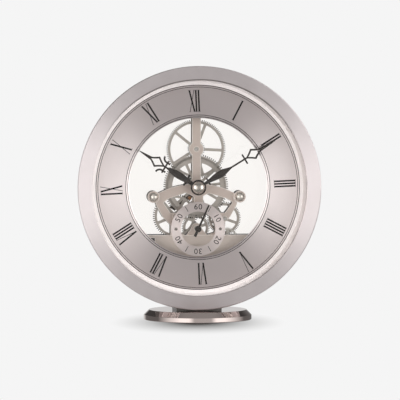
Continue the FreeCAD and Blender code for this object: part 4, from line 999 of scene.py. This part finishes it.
def paleFloor(look):
    # the background's colour to the eye, matt to other rays, and nothing at all to mirrored ones
    material = bpy.data.materials.new("paleFloor")
    material.use_nodes = True
    tree = material.node_tree
    tree.nodes.clear()
    rays = addNode(tree, "ShaderNodeLightPath").outputs
    seen = straightToEye(tree, rays)
    tone = blendColours(tree, seen, opaque(look["white"]), opaque(look["pool"]))
    matt = addNode(tree, "ShaderNodeBsdfDiffuse", {"Color": tone})
    glow = addNode(tree, "ShaderNodeEmission", {"Color": backdropTone(tree, rays)})
    share = calc(tree, "MULTIPLY", outsidePool(tree, look), seen)
    shown = mixShaders(tree, share, matt.outputs[0], glow.outputs[0])
    clear = addNode(tree, "ShaderNodeBsdfTransparent")
    mirrored = calc(tree, "GREATER_THAN", rays["Glossy Depth"], noBounce)
    surface = mixShaders(tree, mirrored, shown, clear.outputs[0])
    addNode(tree, "ShaderNodeOutputMaterial", {"Surface": surface})
    return material


def makeFloor(look):
    radius, steps = look["radius"], look["steps"]
    turns = [math.tau * i / steps for i in range(steps)]
    rim = [(radius * math.cos(turn), radius * math.sin(turn), 0.0) for turn in turns]
    floor = addObject("floor", newMesh("floor", rim, [tuple(range(steps))]))
    dress(floor, paleFloor(look))


worldLook = {
    # levels round the clock, by the angle from straight in front of it
    "front": 0.78,
    "side": 2.2,
    "flank": 0.22,
    "centre": math.radians(6),  # the dim middle lies a little right of straight ahead
    "sideFrom": (math.radians(16), math.radians(32)),
    "sideTo": (math.radians(48), math.radians(105)),
    "behindFrom": (math.radians(152), math.radians(170)),
    "boxTop": (0.23, 0.55),  # heights between which the soft boxes fade into ceiling and ground
    "behindTop": (0.04, 0.24),  # the same for the pale background behind, into the ceiling
    "ceiling": (0.47, 0.085),  # over the front, over the back
    "ceilingSpan": (0.0, 0.45),
    "ceilingLight": 1.35,  # the same ceiling, as it lights matt surfaces
    "ground": 0.53,
}


def makeWorld(look):
    world = bpy.data.worlds.new("studio")
    bpy.context.scene.world = world
    world.use_nodes = True
    tree = world.node_tree
    tree.nodes.clear()
    rays = addNode(tree, "ShaderNodeLightPath").outputs
    toward = axesOf(tree, addNode(tree, "ShaderNodeTexCoord").outputs["Generated"])
    ahead = calc(tree, "MULTIPLY", toward["Y"], -1.0)
    angle = calc(tree, "ARCTAN2", toward["X"], ahead)
    angle = calc(tree, "ABSOLUTE", calc(tree, "SUBTRACT", angle, look["centre"]))
    level = remap(tree, angle, *look["sideFrom"], look["front"], look["side"], smooth=True)
    level = remap(tree, angle, *look["sideTo"], level, look["flank"])
    behind = remap(tree, angle, *look["behindFrom"], 0.0, 1.0, smooth=True)
    level = fade(tree, behind, level, background[0])
    ceiling = remap(tree, toward["Y"], *look["ceilingSpan"], *look["ceiling"])
    ceiling = fade(tree, rays["Is Diffuse Ray"], ceiling, look["ceilingLight"])
    low, high = (fade(tree, behind, *pair) for pair in zip(look["boxTop"], look["behindTop"]))
    level = remap(tree, toward["Z"], low, high, level, ceiling, smooth=True)
    below = calc(tree, "MULTIPLY", toward["Z"], -1.0)
    level = remap(tree, below, *look["boxTop"], level, look["ground"], smooth=True)
    light = addNode(tree, "ShaderNodeBackground", {"Strength": level})
    shown = addNode(tree, "ShaderNodeBackground", {"Color": backdropTone(tree, rays)})
    surface = mixShaders(tree, straightToEye(tree, rays), light.outputs[0], shown.outputs[0])
    addNode(tree, "ShaderNodeOutputWorld", {"Surface": surface})


lampLook = {
    "places": {"leftBox": (-1.3, -0.9, 0.3), "rightBox": (1.3, -0.9, 0.3)},
    "size": (0.8, 1.2),
    "power": 6.0,
}


def makeLamps(look):
    for name, place in look["places"].items():
        data = bpy.data.lights.new(name, "AREA")
        data.shape = "RECTANGLE"
        data.size, data.size_y = look["size"]
        data.energy = look["power"]
        lamp = addObject(name, data)
        lamp.location = place
        lamp.visible_glossy = False  # metal sees the room's soft tones instead
        lamp.rotation_euler = (clockAxis - lamp.location).to_track_quat("-Z", "Y").to_euler()


makeFloor(floorLook)
makeWorld(worldLook)
makeLamps(lampLook)
bpy.context.scene.view_settings.view_transform = "Standard"
print("floor, background and lamps placed")
